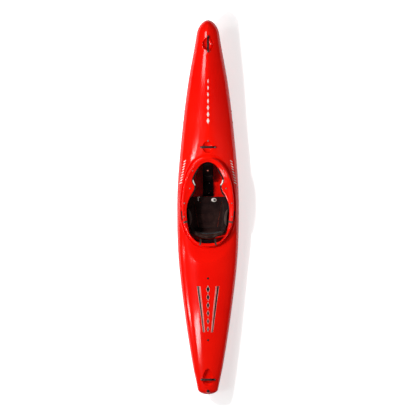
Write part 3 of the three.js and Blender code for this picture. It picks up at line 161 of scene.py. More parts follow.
def mirrored(piece, name):
    clear_selection()
    twin = piece.copy()
    twin.data = piece.data.copy()
    twin.name = twin.data.name = name
    bpy.context.scene.collection.objects.link(twin)
    flipped = points_of(twin)
    flipped[:, 0] *= -1
    place_points(twin, flipped)
    edit_all(twin)
    bpy.ops.mesh.flip_normals()
    finish_edit()
    return twin


def solid_copy(node, name, bevel=0.0015, segments=2, angle=35):
    """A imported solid's own shape with its flats cleaned and its edges rounded."""
    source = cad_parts[node]
    piece = source.copy()
    piece.data = source.data.copy()
    piece.parent = None
    piece.name = piece.data.name = name
    for key in list(piece.keys()):
        del piece[key]
    bpy.context.scene.collection.objects.link(piece)
    edit_all(piece)
    bpy.ops.mesh.remove_doubles(threshold=1e-6)
    bpy.ops.mesh.select_all(action="SELECT")
    bpy.ops.mesh.dissolve_limited(angle_limit=math.radians(2))
    finish_edit()
    modify(piece, "BEVEL", width=bevel, segments=segments, limit_method="ANGLE", angle_limit=math.radians(angle))
    smooth(piece, 40)
    return piece


# ---------------------------------------------------------------- shape of the hull

LENGTH, BEAM, WALL = 3.660, 0.610, 0.006
BOW_ROCKER, STERN_ROCKER, FLAT_RUN, BOTTOM_FLAT = 0.235, 0.150, 0.430, 0.135
BOW_END, STERN_END = 0.130, 0.050
BOW_TOP, FORE_DECK, MID_DECK, REAR_DECK, STERN_TOP, CHINE = 0.385, 0.332, 0.300, 0.262, 0.262, 0.190
HALF_LENGTH, HALF_BEAM = LENGTH / 2, BEAM / 2
BOW_KEEL_POWER, STERN_KEEL_POWER, SIDE_POWER = 2.1, 2, 2.6
BOW_CHINE_SHARE, STERN_CHINE_SHARE = 0.9 * 0.62, 0.93 * 0.62
DECK_POWER, PEAKED_POWER, PEAK_SHARE = 2.05, 1.45, 0.45

BEAM_SHARES = [
    (-1, 0.30), (-0.96, 0.344), (-0.83, 0.505), (-0.56, 0.757), (-0.28, 0.951),
    (-0.04, 1), (0.148, 0.972), (0.40, 0.839), (0.66, 0.646), (0.88, 0.408), (1, 0.29),
]
DECK_LINE = [
    (-1, STERN_TOP), (-0.6, (STERN_TOP + REAR_DECK) / 2), (-0.3, REAR_DECK),
    (-0.1, MID_DECK), (0.28, FORE_DECK), (0.6, (FORE_DECK + BOW_TOP) / 2), (1, BOW_TOP),
]


def eased(stations, y):
    share = min(1.0, max(-1.0, y / HALF_LENGTH))
    i = 0
    while i < len(stations) - 2 and share > stations[i + 1][0]:
        i += 1

    def slope(a, b):
        return (stations[b][1] - stations[a][1]) / (stations[b][0] - stations[a][0])

    last = len(stations) - 1

    def tangent(k):
        return slope(0, 1) if k == 0 else slope(last - 1, last) if k == last else slope(k - 1, k + 1)

    span = stations[i + 1][0] - stations[i][0]
    t = (share - stations[i][0]) / span
    a, b = stations[i][1], stations[i + 1][1]
    rise = t * t * (3 - 2 * t)
    return a + (b - a) * rise + span * (tangent(i) * t * (1 - t) ** 2 - tangent(i + 1) * t * t * (1 - t))


def section_at(y):
    reach = BOW_END if y > 0 else STERN_END
    depth = max(0.0, abs(y) - (HALF_LENGTH - reach)) / reach
    full = math.sqrt(max(0.0, 1 - depth * depth))
    half = eased(BEAM_SHARES, y) * HALF_BEAM * full
    beyond = max(0.0, abs(y) - FLAT_RUN) / (HALF_LENGTH - FLAT_RUN)
    keel = BOW_ROCKER * beyond ** BOW_KEEL_POWER if y > 0 else STERN_ROCKER * beyond ** STERN_KEEL_POWER
    deck = eased(DECK_LINE, y)
    middle = (keel + deck) / 2
    keel, deck = middle + (keel - middle) * full, middle + (deck - middle) * full
    end = min(1.0, abs(y) / HALF_LENGTH)
    end_share = BOW_CHINE_SHARE if y > 0 else STERN_CHINE_SHARE
    share = CHINE / FORE_DECK + (end_share - CHINE / FORE_DECK) * end
    chine = keel + (deck - keel) * share
    flat = min(BOTTOM_FLAT, half * 0.6)
    peak = min(1.0, y / (HALF_LENGTH * PEAK_SHARE)) if y > 0 else 0.0
    return half, keel, deck, chine, flat, DECK_POWER + (PEAKED_POWER - DECK_POWER) * peak


def deck_height(x, y):
    half, _, deck, chine, _, power = section_at(y)
    across = min(1.0, abs(x) / half)
    return chine + (deck - chine) * (1 - across ** power) ** (1 / power)


def ramp(low, high, x):
    t = min(1.0, max(0.0, (x - low) / (high - low)))
    return t * t * (3 - 2 * t)


# Hollows in the deck, under the handles: centre, reach forward, reach back
BOWL_RADIUS, BOWL_DEPTH, BOWL_NARROWING, BOWL_LIP_START, BOWL_LIP_END = 0.054, 0.038, 0.28, 0.95, 1.12
BOWLS = [(1.588, 0.054, 0.054), (0.591, 0.054, 0.054), (-1.677, 0.099, 0.059)]
HANDLE_SEATS = [(1.588, 0.165, True), (0.591, 0.158, False), (-1.677, 0.148, False)]
BOSS_RADIUS, BOSS_HEIGHT, BOSS_IN, BOSS_OUT, BOLT_INSET = 0.013, 0.0025, 0.003, 0.004, 0.011
PLUG_Y, PLUG_RADIUS, PLUG_FADE_START, PLUG_FADE_END = -1.789, 0.014, 0.004, 0.012
SCREW_YS = (-0.689, -1.292)


def handle_bolts(y, length, along):
    reach = length / 2 - BOLT_INSET
    return [(0.0, y + reach), (0.0, y - reach)] if along else [(-reach, y), (reach, y)]


HANDLE_HEIGHTS = [
    max(deck_height(*bolt) for bolt in handle_bolts(*seat)) + BOSS_HEIGHT for seat in HANDLE_SEATS
]
PLUG_SEAT = deck_height(PLUG_RADIUS, PLUG_Y) + BOSS_HEIGHT

# The shallow dish behind the cockpit, inside an arc that crosses the rear deck
DISH_Y, DISH_HALF, DISH_REACH, DISH_DEPTH, DISH_POWER = -0.150, 0.261, 0.388, 0.017, 2.2
DISH_CREASE, DISH_SLOPE, DISH_FADE = 0.012, 0.30, 0.14


def dished(x, y):
    if y > DISH_Y:
        return 0.0
    away = ((abs(x) / DISH_HALF) ** DISH_POWER + ((DISH_Y - y) / DISH_REACH) ** DISH_POWER) ** (1 / DISH_POWER)
    inside = max(0.0, 1 - away)
    eased_in = inside * inside / (2 * DISH_CREASE) if inside < DISH_CREASE else inside - DISH_CREASE / 2
    return DISH_DEPTH * min(1.0, eased_in / DISH_SLOPE) * ramp(DISH_Y, DISH_Y - DISH_FADE, y)


# The channel moulded round the cockpit rim
RIM_FRONT, RIM_REAR, RIM_HALF, RIM_POWER = 0.508, -0.390, 0.266, 2.2
GROOVE_DEPTH, GROOVE_WIDTH, GROOVE_FRONT_MORE, GROOVE_REAR_MORE = 0.016, 0.006, 0.008, 0.005
LIP_INSET, LIP_FRONT_MORE = 0.014, 0.009
FRONT_STRETCH, REAR_STRETCH = (0.25, 0.48), (-0.22, -0.38)
UNDER_MORE, UNDER_FADE = 0.004, 0.012


def groove_width(y):
    """How far the channel's outer wall stands outside the rim's outline."""
    return GROOVE_WIDTH + GROOVE_FRONT_MORE * ramp(*FRONT_STRETCH, y) + GROOVE_REAR_MORE * ramp(*REAR_STRETCH, y)


def lip_inset(y):
    """How far the lip's edge stays inside the rim's outline."""
    return LIP_INSET + LIP_FRONT_MORE * ramp(*FRONT_STRETCH, y)


def under_groove(x, y):
    """How far the channel lowers the underside of the deck."""
    reach = RIM_FRONT if y > 0 else -RIM_REAR
    radial = ((abs(x) / RIM_HALF) ** RIM_POWER + (abs(y) / reach) ** RIM_POWER) ** (1 / RIM_POWER)
    away = (radial - 1) * math.hypot(x, y) / max(radial, 0.01)
    return (GROOVE_DEPTH + UNDER_MORE) * (1 - ramp(groove_width(y), groove_width(y) + UNDER_FADE, away))


def surface_height(x, y):
    """The deck as it is moulded, with its hollows, bosses and the dish."""
    z = deck_height(x, y) - dished(x, y)
    for centre, front, rear in BOWLS:
        along = (y - centre) / (front if y > centre else rear)
        narrow = 1 - BOWL_NARROWING * max(0.0, along) * ((front - BOWL_RADIUS) / BOWL_RADIUS)
        if abs(along) > BOWL_LIP_END or narrow <= 0:
            continue
        radial = math.hypot(x / (BOWL_RADIUS * narrow), along)
        if radial < BOWL_LIP_END:
            floor = deck_height(BOWL_RADIUS, centre) - BOWL_DEPTH * math.sqrt(max(0.0, 1 - min(1.0, radial) ** 2))
            z += (floor - z) * (1 - ramp(BOWL_LIP_START, BOWL_LIP_END, radial))
    for seat, (centre, length, along) in zip(HANDLE_HEIGHTS, HANDLE_SEATS):
        for bx, by in handle_bolts(centre, length, along):
            away = math.hypot(x - bx, y - by)
            if away < BOSS_RADIUS + BOSS_OUT:
                z += (seat - z) * (1 - ramp(BOSS_RADIUS - BOSS_IN, BOSS_RADIUS + BOSS_OUT, away))
    away = math.hypot(x, y - PLUG_Y)
    if away < PLUG_RADIUS + PLUG_FADE_END:
        z += (PLUG_SEAT - z) * (1 - ramp(PLUG_RADIUS + PLUG_FADE_START, PLUG_RADIUS + PLUG_FADE_END, away))
    return z


FINE_STEP, REAR_STEP, COARSE_STEP, TIP = 0.003, 0.006, 0.017, 0.0001
HANDLE_SPAN, STERN_BEHIND, STERN_AHEAD, PLUG_SPAN = 0.092, 0.070, 0.108, 0.030
SIDE_STEPS, SHOULDER_STEPS, TOP_STEPS, TOP_HALF = 16, 14, 28, 0.084


def hull_places():
    """Stations along the hull, close together where the deck has detail."""
    spots = [(centre - HANDLE_SPAN, centre + HANDLE_SPAN) for centre, _, _ in HANDLE_SEATS]
    stern_bowl = BOWLS[2][0]
    spots[2] = (stern_bowl - STERN_BEHIND, stern_bowl + STERN_AHEAD)
    spots.append((PLUG_Y - PLUG_SPAN, PLUG_Y + PLUG_SPAN))
    places, y = [], -(HALF_LENGTH - STERN_END)
    while y < HALF_LENGTH - BOW_END:
        places.append(y)
        near = any(low < y < high for low, high in spots)
        behind = -0.60 < y < -0.33
        y += FINE_STEP if near else REAR_STEP if behind else COARSE_STEP
    places.append(HALF_LENGTH - BOW_END)
    stern = [-(HALF_LENGTH - STERN_END) - (STERN_END - TIP) * math.sin(k / 14 * 1.5) for k in range(14, 0, -1)]
    bow = [HALF_LENGTH - BOW_END + (BOW_END - TIP) * math.sin(k / 22 * 1.5) for k in range(1, 23)]
    return stern + places + bow


def hull_ring(y):
    """The hull's section at one station, from the keel up the right side, over the deck and back."""
    half, keel, deck, chine, flat, power = section_at(y)
    ring = []
    for k in range(SIDE_STEPS + 1):
        angle = k / SIDE_STEPS * math.pi / 2
        out, down = math.sin(angle) ** (2 / SIDE_POWER), math.cos(angle) ** (2 / SIDE_POWER)
        ring.append((flat + (half - flat) * out, chine - (chine - keel) * down))
    inner = min(TOP_HALF, half * 0.72)
    turn = math.acos(min(1.0, (inner / half) ** (power / 2)))
    across = [half * math.cos(turn * k / SHOULDER_STEPS) ** (2 / power) for k in range(1, SHOULDER_STEPS + 1)]
    across += [inner * (1 - k / TOP_STEPS) for k in range(1, TOP_STEPS + 1)]
    ring += [(x, surface_height(x, y)) for x in across]
    left = [(-x, z) for x, z in reversed(ring[:-1])]
    return [(x, y, z) for x, z in ring + left]


# ---------------------------------------------------------------- shape of the cockpit rim

RIM_FRONT_Z, RIM_REAR_Z, RIM_SAG = 0.372, 0.308, 0.010
LIP_THICK, EDGE_DROP, RISER_INSET = 0.007, 0.012, 0.010
OPEN_FRONT, OPEN_REAR, OPEN_HALF = 0.446, -0.346, 0.206
OPENING_SHARES = [
    (0, 1), (0.30, 0.947), (0.515, 0.828), (0.67, 0.682), (0.755, 0.57), (0.73, 0.487), (0.641, 0.407),
    (0.68, 0.303), (0.806, 0.189), (0.925, 0.05), (1, -0.10), (1, -0.354), (0.951, -0.58),
    (0.82, -0.795), (0.56, -0.94), (0, -1),
]
RIM_STATIONS = 320
FLANGE_DIP, LIP_CROWN, GROOVE_THICK = 0.0022, 0.0012, WALL * 0.9
# The channel's outer wall, as shares of its width and height, and its brim on the deck
GROOVE_WALL = ((0.74, 0.22), (0.88, 0.66), (0.96, 0.92))
GROOVE_BRIM = ((0.0012, 0.0002), (0.0045, 0.0004), (0.0085, 0.0001), (0.0090, -0.0010))


def rim_crest(y):
    t = min(1.0, max(0.0, (y - RIM_REAR) / (RIM_FRONT - RIM_REAR)))
    return RIM_REAR_Z + (RIM_FRONT_Z - RIM_REAR_Z) * t - RIM_SAG * math.sin(math.pi * t)


def centripetal(points, per_span):
    """A closed smooth curve through plan points."""
    points = np.asarray(points, float)
    count, out = len(points), []
    for i in range(count):
        p0, p1, p2, p3 = (points[(i + k) % count] for k in (-1, 0, 1, 2))
        d0, d1, d2 = (max(1e-6, np.linalg.norm(b - a)) ** 0.5 for a, b in ((p0, p1), (p1, p2), (p2, p3)))
        m1 = ((p1 - p0) / d0 - (p2 - p0) / (d0 + d1) + (p2 - p1) / d1) * d1
        m2 = ((p2 - p1) / d1 - (p3 - p1) / (d1 + d2) + (p3 - p2) / d2) * d1
        for k in range(per_span):
            t = k / per_span
            out.append(
                (2 * t**3 - 3 * t**2 + 1) * p1 + (t**3 - 2 * t**2 + t) * m1
                + (3 * t**2 - 2 * t**3) * p2 + (t**3 - t**2) * m2
            )
    return np.array(out)


def evenly(loop, count):
    """Points at even spacing round a closed line, from its first point."""
    closed = np.vstack([loop, loop[:1]])
    run = np.concatenate([[0], np.cumsum(np.linalg.norm(np.diff(closed, axis=0), axis=1))])
    at = np.linspace(0, run[-1], count, endpoint=False)
    return np.stack([np.interp(at, run, closed[:, k]) for k in range(loop.shape[1])], 1)


def rim_lines():
    middle, reach = (OPEN_FRONT + OPEN_REAR) / 2, (OPEN_FRONT - OPEN_REAR) / 2
    right = [(OPEN_HALF * a, middle + reach * b) for a, b in OPENING_SHARES]
    whole = right + [(-x, y) for x, y in reversed(right[1:-1])]
    edge = evenly(centripetal(whole, 24), RIM_STATIONS)
    dense = []
    for k in range(4000):
        angle = k / 4000 * 2 * math.pi
        across = abs(math.sin(angle)) ** (2 / RIM_POWER) * math.copysign(1, math.sin(angle))
        ahead = abs(math.cos(angle)) ** (2 / RIM_POWER) * math.copysign(1, math.cos(angle))
        dense.append((RIM_HALF * across, RIM_FRONT * ahead if ahead > 0 else -RIM_REAR * ahead))
    outer = evenly(np.array(dense), RIM_STATIONS)
    run = np.roll(outer, -1, 0) - np.roll(outer, 1, 0)
    outward = np.stack([-run[:, 1], run[:, 0]], 1)
    outward /= np.linalg.norm(outward, axis=1)[:, None]
    return edge, outer, outward


RIM_EDGE, RIM_OUTER, RIM_OUTWARD = rim_lines()


def rim_crest_line(i):
    full = RIM_OUTER[i % RIM_STATIONS]
    return full - RIM_OUTWARD[i % RIM_STATIONS] * (lip_inset(full[1]) + RISER_INSET + WALL)


def flange_point(i, share, drop=0.0):
    edge = RIM_EDGE[i % RIM_STATIONS]
    crest = rim_crest_line(i)
    x, y = edge + (crest - edge) * share
    low, high = rim_crest(edge[1]) - EDGE_DROP, rim_crest(crest[1])
    return np.array([x, y, low + (high - low) * share - drop])


def deck_at(spot):
    return deck_height(*spot) - dished(*spot)


def groove_floor(i):
    full = RIM_OUTER[i]
    wall = full + RIM_OUTWARD[i] * groove_width(full[1])
    return min(deck_at(full), deck_at(wall)) - GROOVE_DEPTH


def rim_ring(i):
    """The rim's section at one station: rolled edge, flange, crest, lip, riser, channel and underside."""
    edge, full, out = RIM_EDGE[i], RIM_OUTER[i], RIM_OUTWARD[i]
    riser = full - out * (lip_inset(full[1]) + RISER_INSET)
    crest, outer = riser - out * WALL, full - out * lip_inset(full[1])
    inward = edge - crest
    width = np.linalg.norm(inward)
    inward = inward / width
    points = []
    edge_z = rim_crest(edge[1]) - EDGE_DROP
    half = WALL / 2
    for angle in (-80, -45, 0, 45, 80):
        a = math.radians(angle)
        at = edge - inward * half + inward * half * math.cos(a)
        points.append((*at, edge_z - half + half * math.sin(a)))
    for share in (0.12, 0.3, 0.5, 0.7, 0.86):
        x, y, z = flange_point(i, share)
        points.append((x, y, z - FLANGE_DIP * math.sin(math.pi * share) ** 2))
    crest_z, outer_z = rim_crest(crest[1]), rim_crest(outer[1]) - LIP_THICK / 4
    points.append((*crest, crest_z + 0.0002))
    for share in (0.25, 0.5, 0.72):
        at = crest + (outer - crest) * share
        points.append((*at, crest_z + (outer_z - crest_z) * share + LIP_CROWN * math.sin(math.pi * share)))
    nose = LIP_THICK / 2
    for angle in (70, 35, 0, -35, -70):
        a = math.radians(angle)
        at = outer - out * nose + out * nose * math.cos(a)
        points.append((*at, outer_z - nose + nose * math.sin(a)))
    under = outer_z - LIP_THICK
    wall = full + out * groove_width(full[1])
    floor = groove_floor(i)
    down = ((0.004, under + 0.0004), (0.001, under - 0.001), (0, under - 0.004),
            (0, min(under - 0.006, floor + 0.010)), (0.0008, floor + 0.003), (0.004, floor))
    points += [(*(riser + out * beyond), z) for beyond, z in down]
    across, height = wall - riser, deck_at(wall) - floor
    points.append((*(riser + across * 0.55), floor + 0.0004))
    points += [(*(riser + across * share), floor + height * rise) for share, rise in GROOVE_WALL]
    for beyond, lift in GROOVE_BRIM:
        at = wall + out * beyond
        points.append((*at, deck_at(at) + lift))
    at = wall + out * 0.001
    points.append((*at, deck_at(at) - GROOVE_THICK))
    points.append((*(riser + across * 0.60), floor - GROOVE_THICK))
    points.append((*crest, floor - GROOVE_THICK))
    top = flange_point(i, 1, WALL)
    points.append((crest[0], crest[1], top[2] - 0.005))
    points.append(tuple(flange_point(i, 1 - min(0.3, 0.004 / width), WALL)))
    for share in (0.6, 0.25):
        points.append(tuple(flange_point(i, share, WALL)))
    return points


# ---------------------------------------------------------------- materials


def node_tree(name):
    material = bpy.data.materials.new(name)
    material.use_nodes = True
    material.node_tree.nodes.clear()
    return material, material.node_tree


def wire(tree, a, b):
    tree.links.new(a, b)


PLACE_SOCKET = ("Place", "NodeSocketVector", (0, 0, 0))


def effect(name, inputs, outputs):
    """An empty shader node group with named sockets."""
    group = bpy.data.node_groups.new(name, "ShaderNodeTree")
    for label, kind, value in inputs:
        socket = group.interface.new_socket(name=label, in_out="INPUT", socket_type=kind)
        socket.default_value = value
    for label, kind in outputs:
        group.interface.new_socket(name=label, in_out="OUTPUT", socket_type=kind)
    return group, group.nodes.new("NodeGroupInput"), group.nodes.new("NodeGroupOutput")


def speckle_effect():
    """Fine grain of moulded plastic: height and a mottling mask."""
    group, given, result = effect(
        "moulded_grain",
        [PLACE_SOCKET, ("Size", "NodeSocketFloat", 400.0), ("Drift", "NodeSocketFloat", 6.0)],
        [("Height", "NodeSocketFloat"), ("Mottle", "NodeSocketFloat")],
    )
    grain = group.nodes.new("ShaderNodeTexNoise")
    grain.inputs["Detail"].default_value = 6
    wide = group.nodes.new("ShaderNodeTexNoise")
    wide.inputs["Detail"].default_value = 3
    wire(group, given.outputs["Place"], grain.inputs["Vector"])
    wire(group, given.outputs["Place"], wide.inputs["Vector"])
    wire(group, given.outputs["Size"], grain.inputs["Scale"])
    wire(group, given.outputs["Drift"], wide.inputs["Scale"])
    wire(group, grain.outputs["Fac"], result.inputs["Height"])
    wire(group, wide.outputs["Fac"], result.inputs["Mottle"])
    return group


def scuff_effect():
    """Long faint scratches along the hull, as a mask."""
    group, given, result = effect(
        "long_scuffs", [PLACE_SOCKET, ("Reach", "NodeSocketFloat", 0.62)], [("Mask", "NodeSocketFloat")],
    )
    stretch = group.nodes.new("ShaderNodeMapping")
    stretch.inputs["Scale"].default_value = (190, 5, 190)
    lines = group.nodes.new("ShaderNodeTexNoise")
    lines.inputs["Scale"].default_value = 1.0
    lines.inputs["Detail"].default_value = 8
    cut = group.nodes.new("ShaderNodeMapRange")
    cut.inputs["From Max"].default_value = 0.80
    wire(group, given.outputs["Place"], stretch.inputs["Vector"])
    wire(group, stretch.outputs["Vector"], lines.inputs["Vector"])
    wire(group, lines.outputs["Fac"], cut.inputs["Value"])
    wire(group, given.outputs["Reach"], cut.inputs["From Min"])
    wire(group, cut.outputs["Result"], result.inputs["Mask"])
    return group


def weave_effect():
    """Over and under threads: height and a thread mask."""
    group, given, result = effect(
        "plain_weave", [PLACE_SOCKET, ("Threads", "NodeSocketFloat", 900.0)],
        [("Height", "NodeSocketFloat"), ("Thread", "NodeSocketFloat")],
    )
    waves = []
    for axis in ("X", "Y"):
        wave = group.nodes.new("ShaderNodeTexWave")
        wave.bands_direction = axis
        wave.inputs["Distortion"].default_value = 0.4
        wave.inputs["Detail"].default_value = 1
        wire(group, given.outputs["Place"], wave.inputs["Vector"])
        wire(group, given.outputs["Threads"], wave.inputs["Scale"])
        waves.append(wave)
    checks = group.nodes.new("ShaderNodeTexChecker")
    wire(group, given.outputs["Place"], checks.inputs["Vector"])
    wire(group, given.outputs["Threads"], checks.inputs["Scale"])
    mix = group.nodes.new("ShaderNodeMix")
    wire(group, checks.outputs["Fac"], mix.inputs[0])
    wire(group, waves[0].outputs["Fac"], mix.inputs[2])
    wire(group, waves[1].outputs["Fac"], mix.inputs[3])
    wire(group, mix.outputs[0], result.inputs["Height"])
    wire(group, checks.outputs["Fac"], result.inputs["Thread"])
    return group


GRAIN, SCUFFS, WEAVE = speckle_effect(), scuff_effect(), weave_effect()


def finish_of(
    name, low, high, rough, size=400.0, drift=6.0, bump=0.08, distance=0.0004, scuffs=None, weave=None, **plain,
):
    """A Principled material: two colours mottled together, uneven roughness and a bump of its own grain."""
    material, tree = node_tree(name)
    out = tree.nodes.new("ShaderNodeOutputMaterial")
    shader = tree.nodes.new("ShaderNodeBsdfPrincipled")
    place = tree.nodes.new("ShaderNodeTexCoord")
    grain = tree.nodes.new("ShaderNodeGroup")
    grain.node_tree = GRAIN
    grain.inputs["Size"].default_value = size
    grain.inputs["Drift"].default_value = drift
    wire(tree, place.outputs["Object"], grain.inputs["Place"])
    colour = tree.nodes.new("ShaderNodeValToRGB")
    colour.color_ramp.elements[0].position, colour.color_ramp.elements[1].position = 0.35, 0.68
    colour.color_ramp.elements[0].color = (*low, 1)
    colour.color_ramp.elements[1].color = (*high, 1)
    wire(tree, grain.outputs["Mottle"], colour.inputs["Fac"])
    tint = colour.outputs["Color"]
    roughness = tree.nodes.new("ShaderNodeMapRange")
    roughness.inputs["To Min"].default_value, roughness.inputs["To Max"].default_value = rough
    wire(tree, grain.outputs["Height"], roughness.inputs["Value"])
    spread = roughness.outputs["Result"]
    height = grain.outputs["Height"]
    if scuffs:
        marks = tree.nodes.new("ShaderNodeGroup")
        marks.node_tree = SCUFFS
        wire(tree, place.outputs["Object"], marks.inputs["Place"])
        fade = tree.nodes.new("ShaderNodeMath")
        fade.operation = "MULTIPLY"
        fade.inputs[1].default_value = scuffs
        wire(tree, marks.outputs["Mask"], fade.inputs[0])
        rougher = tree.nodes.new("ShaderNodeMath")
        rougher.operation = "ADD"
        wire(tree, spread, rougher.inputs[0])
        wire(tree, fade.outputs["Value"], rougher.inputs[1])
        spread = rougher.outputs["Value"]
    if weave:
        threads = tree.nodes.new("ShaderNodeGroup")
        threads.node_tree = WEAVE
        threads.inputs["Threads"].default_value = weave
        wire(tree, place.outputs["Object"], threads.inputs["Place"])
        shade = tree.nodes.new("ShaderNodeMix")
        shade.data_type = "RGBA"
        shade.blend_type = "MULTIPLY"
        shade.inputs[0].default_value = 0.45
        wire(tree, tint, shade.inputs[6])
        wire(tree, threads.outputs["Height"], shade.inputs[7])
        tint = shade.outputs[2]
        height = threads.outputs["Height"]
    dent = tree.nodes.new("ShaderNodeBump")
    dent.inputs["Strength"].default_value = bump
    dent.inputs["Distance"].default_value = distance
    wire(tree, height, dent.inputs["Height"])
    wire(tree, tint, shader.inputs["Base Color"])
    wire(tree, spread, shader.inputs["Roughness"])
    wire(tree, dent.outputs["Normal"], shader.inputs["Normal"])
    for socket, value in plain.items():
        shader.inputs[socket.replace("_", " ")].default_value = value
    wire(tree, shader.outputs["BSDF"], out.inputs["Surface"])
    return material


red_hull = finish_of(
    "red_moulded_hull", (0.78, 0.0030, 0.0006), (0.86, 0.0056, 0.0012), (0.08, 0.14), size=260, drift=2.2,
    bump=0.05, distance=0.0003, scuffs=0.10, Specular_IOR_Level=0.42,
)
matt_plastic = finish_of(
    "matt_moulded_plastic", (0.0120, 0.0050, 0.0045), (0.0460, 0.0220, 0.0170), (0.75, 0.95), size=160, drift=34,
    bump=0.5, Specular_IOR_Level=0.12,
)
black_plastic = finish_of(
    "black_moulded_plastic", (0.0060, 0.0040, 0.0040), (0.0120, 0.0085, 0.0085), (0.38, 0.6), size=900, bump=0.25,
)
handle_rubber = finish_of("handle_grip", (0.012, 0.007, 0.006), (0.030, 0.018, 0.015), (0.45, 0.7), size=500, bump=0.4)
white_plastic = finish_of(
    "white_moulded_plastic", (0.74, 0.67, 0.60), (0.86, 0.82, 0.77), (0.3, 0.5), size=900, drift=30, bump=0.12,
)
bung_plastic = finish_of(
    "salmon_bung", (0.62, 0.16, 0.11), (0.74, 0.26, 0.19), (0.4, 0.6), size=900, drift=60, bump=0.15,
)
stainless = finish_of(
    "stainless_bolt", (0.42, 0.40, 0.38), (0.58, 0.56, 0.53), (0.22, 0.4), size=1200, bump=0.1, Metallic=1.0,
)
dull_steel = finish_of(
    "dull_steel_bolt", (0.30, 0.24, 0.22), (0.46, 0.38, 0.35), (0.35, 0.55), size=1200, bump=0.15, Metallic=0.7,
)
foam_block = finish_of(
    "closed_cell_foam", (0.0030, 0.0016, 0.0018), (0.0070, 0.0036, 0.0040), (0.75, 0.95), size=700, drift=20,
    bump=0.6, distance=0.0006, Specular_IOR_Level=0.25,
)
SKINNED = dict(rough=(0.7, 0.9), size=320, drift=60, bump=0.7, distance=0.0008, Specular_IOR_Level=0.3)
ledge_foam = finish_of("ledge_foam", (0.050, 0.024, 0.022), (0.110, 0.056, 0.050), **SKINNED)
brace_foam = finish_of("brace_foam", (0.0050, 0.0032, 0.0030), (0.0300, 0.0180, 0.0150), **SKINNED)

CLOTH = dict(rough=(0.75, 0.95), size=160, bump=0.5, distance=0.0006, weave=620)
SMOOTH_CLOTH = dict(drift=13, Sheen_Weight=0.12, Specular_IOR_Level=0.25, **CLOTH)
seat_cloth = finish_of("seat_cover_cloth", (0.0120, 0.0034, 0.0036), (0.0380, 0.0150, 0.0125), **SMOOTH_CLOTH)
hip_cloth = finish_of("hip_cover_cloth", (0.0500, 0.0250, 0.0200), (0.1200, 0.0680, 0.0540), **SMOOTH_CLOTH)
band_cloth = finish_of(
    "backband_cover_cloth", (0.0170, 0.0060, 0.0055), (0.0900, 0.0430, 0.0330), drift=34, Sheen_Weight=0.08,
    Sheen_Tint=(1.0, 0.55, 0.45, 1.0), Specular_IOR_Level=0.18, **CLOTH,
)
WEBBING = dict(rough=(0.6, 0.85), size=300, drift=60, bump=0.6, distance=0.0006, weave=760)
grey_webbing = finish_of("grey_webbing", (0.045, 0.026, 0.021), (0.150, 0.090, 0.072), **WEBBING)
black_webbing = finish_of("black_webbing", (0.0070, 0.0040, 0.0040), (0.0180, 0.0110, 0.0100), **WEBBING)
piping_cord = finish_of(
    "orange_piping", (0.26, 0.022, 0.010), (0.48, 0.060, 0.026), (0.6, 0.8), size=900, drift=80, bump=0.5, weave=900,
)
PRINT = dict(rough=(0.22, 0.36), size=500, drift=30, bump=0.05, scuffs=0.2)
print_white = finish_of("deck_print_white", (0.66, 0.58, 0.54), (0.82, 0.78, 0.74), **PRINT)
print_silver = finish_of("deck_print_silver", (0.42, 0.34, 0.30), (0.62, 0.54, 0.50), **PRINT)
print_black = finish_of("deck_print_black", (0.0060, 0.0030, 0.0030), (0.0140, 0.0070, 0.0065), **PRINT)


def wear(piece, material, *bodies):
    piece.data.materials.clear()
    piece.data.materials.append(material)
    for body in bodies:
        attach(piece, body)
    return piece


# ---------------------------------------------------------------- hull and rim

hull = lofted("hull_skin", [hull_ring(y) for y in hull_places()])
modify(hull, "SOLIDIFY", thickness=WALL, offset=-1, use_even_offset=False)

crest_line = [p + out * (groove_width(p[1]) + 0.0040) for p, out in zip(RIM_OUTER, RIM_OUTWARD)]
cutter = lofted("cockpit_cut", [[(x, y, z) for x, y in crest_line] for z in (CHINE + 0.02, RIM_FRONT_Z + 0.02)])
modify(hull, "BOOLEAN", operation="DIFFERENCE", object=cutter, solver="EXACT")
bpy.data.objects.remove(cutter)
smooth(hull, 40)
wear(hull, red_hull, "boat")
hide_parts("hull_shell")

rim = lofted("cockpit_rim", [rim_ring(i) for i in range(RIM_STATIONS)], round_run=True)
smooth(rim, 50)
wear(rim, red_hull, "boat")
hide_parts("hull_shell")

# ---------------------------------------------------------------- hard fittings


def squared_ring(count, wide_power, high_power):
    """Across and up shares round a ring that is squarer than a circle."""
    shares = []
    for k in range(count):
        a = k / count * 2 * math.pi
        across, up = math.cos(a), math.sin(a)
        shares.append((np.sign(across) * abs(across) ** wide_power, np.sign(up) * abs(up) ** high_power))
    return shares


def ribbon(name, path, half_widths, thick=0.002, across=(0, 0, 1), steps=None):
    """A flat band with rounded edges along a path; `across` is the direction of its width."""
    path = np.asarray(path, float)
    if steps:
        run = np.concatenate([[0], np.cumsum(np.linalg.norm(np.diff(path, axis=0), axis=1))])
        at = np.linspace(0, run[-1], steps)
        widths = np.interp(at, run, np.resize(half_widths, len(path)))
        path = np.stack([np.interp(at, run, path[:, k]) for k in range(3)], 1)
        for _ in range(2):
            path[1:-1] = (path[:-2] + 2 * path[1:-1] + path[2:]) / 4
    else:
        widths = np.resize(half_widths, len(path))
    side = np.asarray(across, float)
    rings = []
    for k, point in enumerate(path):
        run = path[min(k + 1, len(path) - 1)] - path[max(k - 1, 0)]
        run /= np.linalg.norm(run)
        wide = side - run * side.dot(run)
        wide /= np.linalg.norm(wide)
        up = np.cross(run, wide)
        rings.append([point + wide * widths[k] * a + up * thick / 2 * b for a, b in squared_ring(20, 0.35, 0.8)])
    return lofted(name, rings)


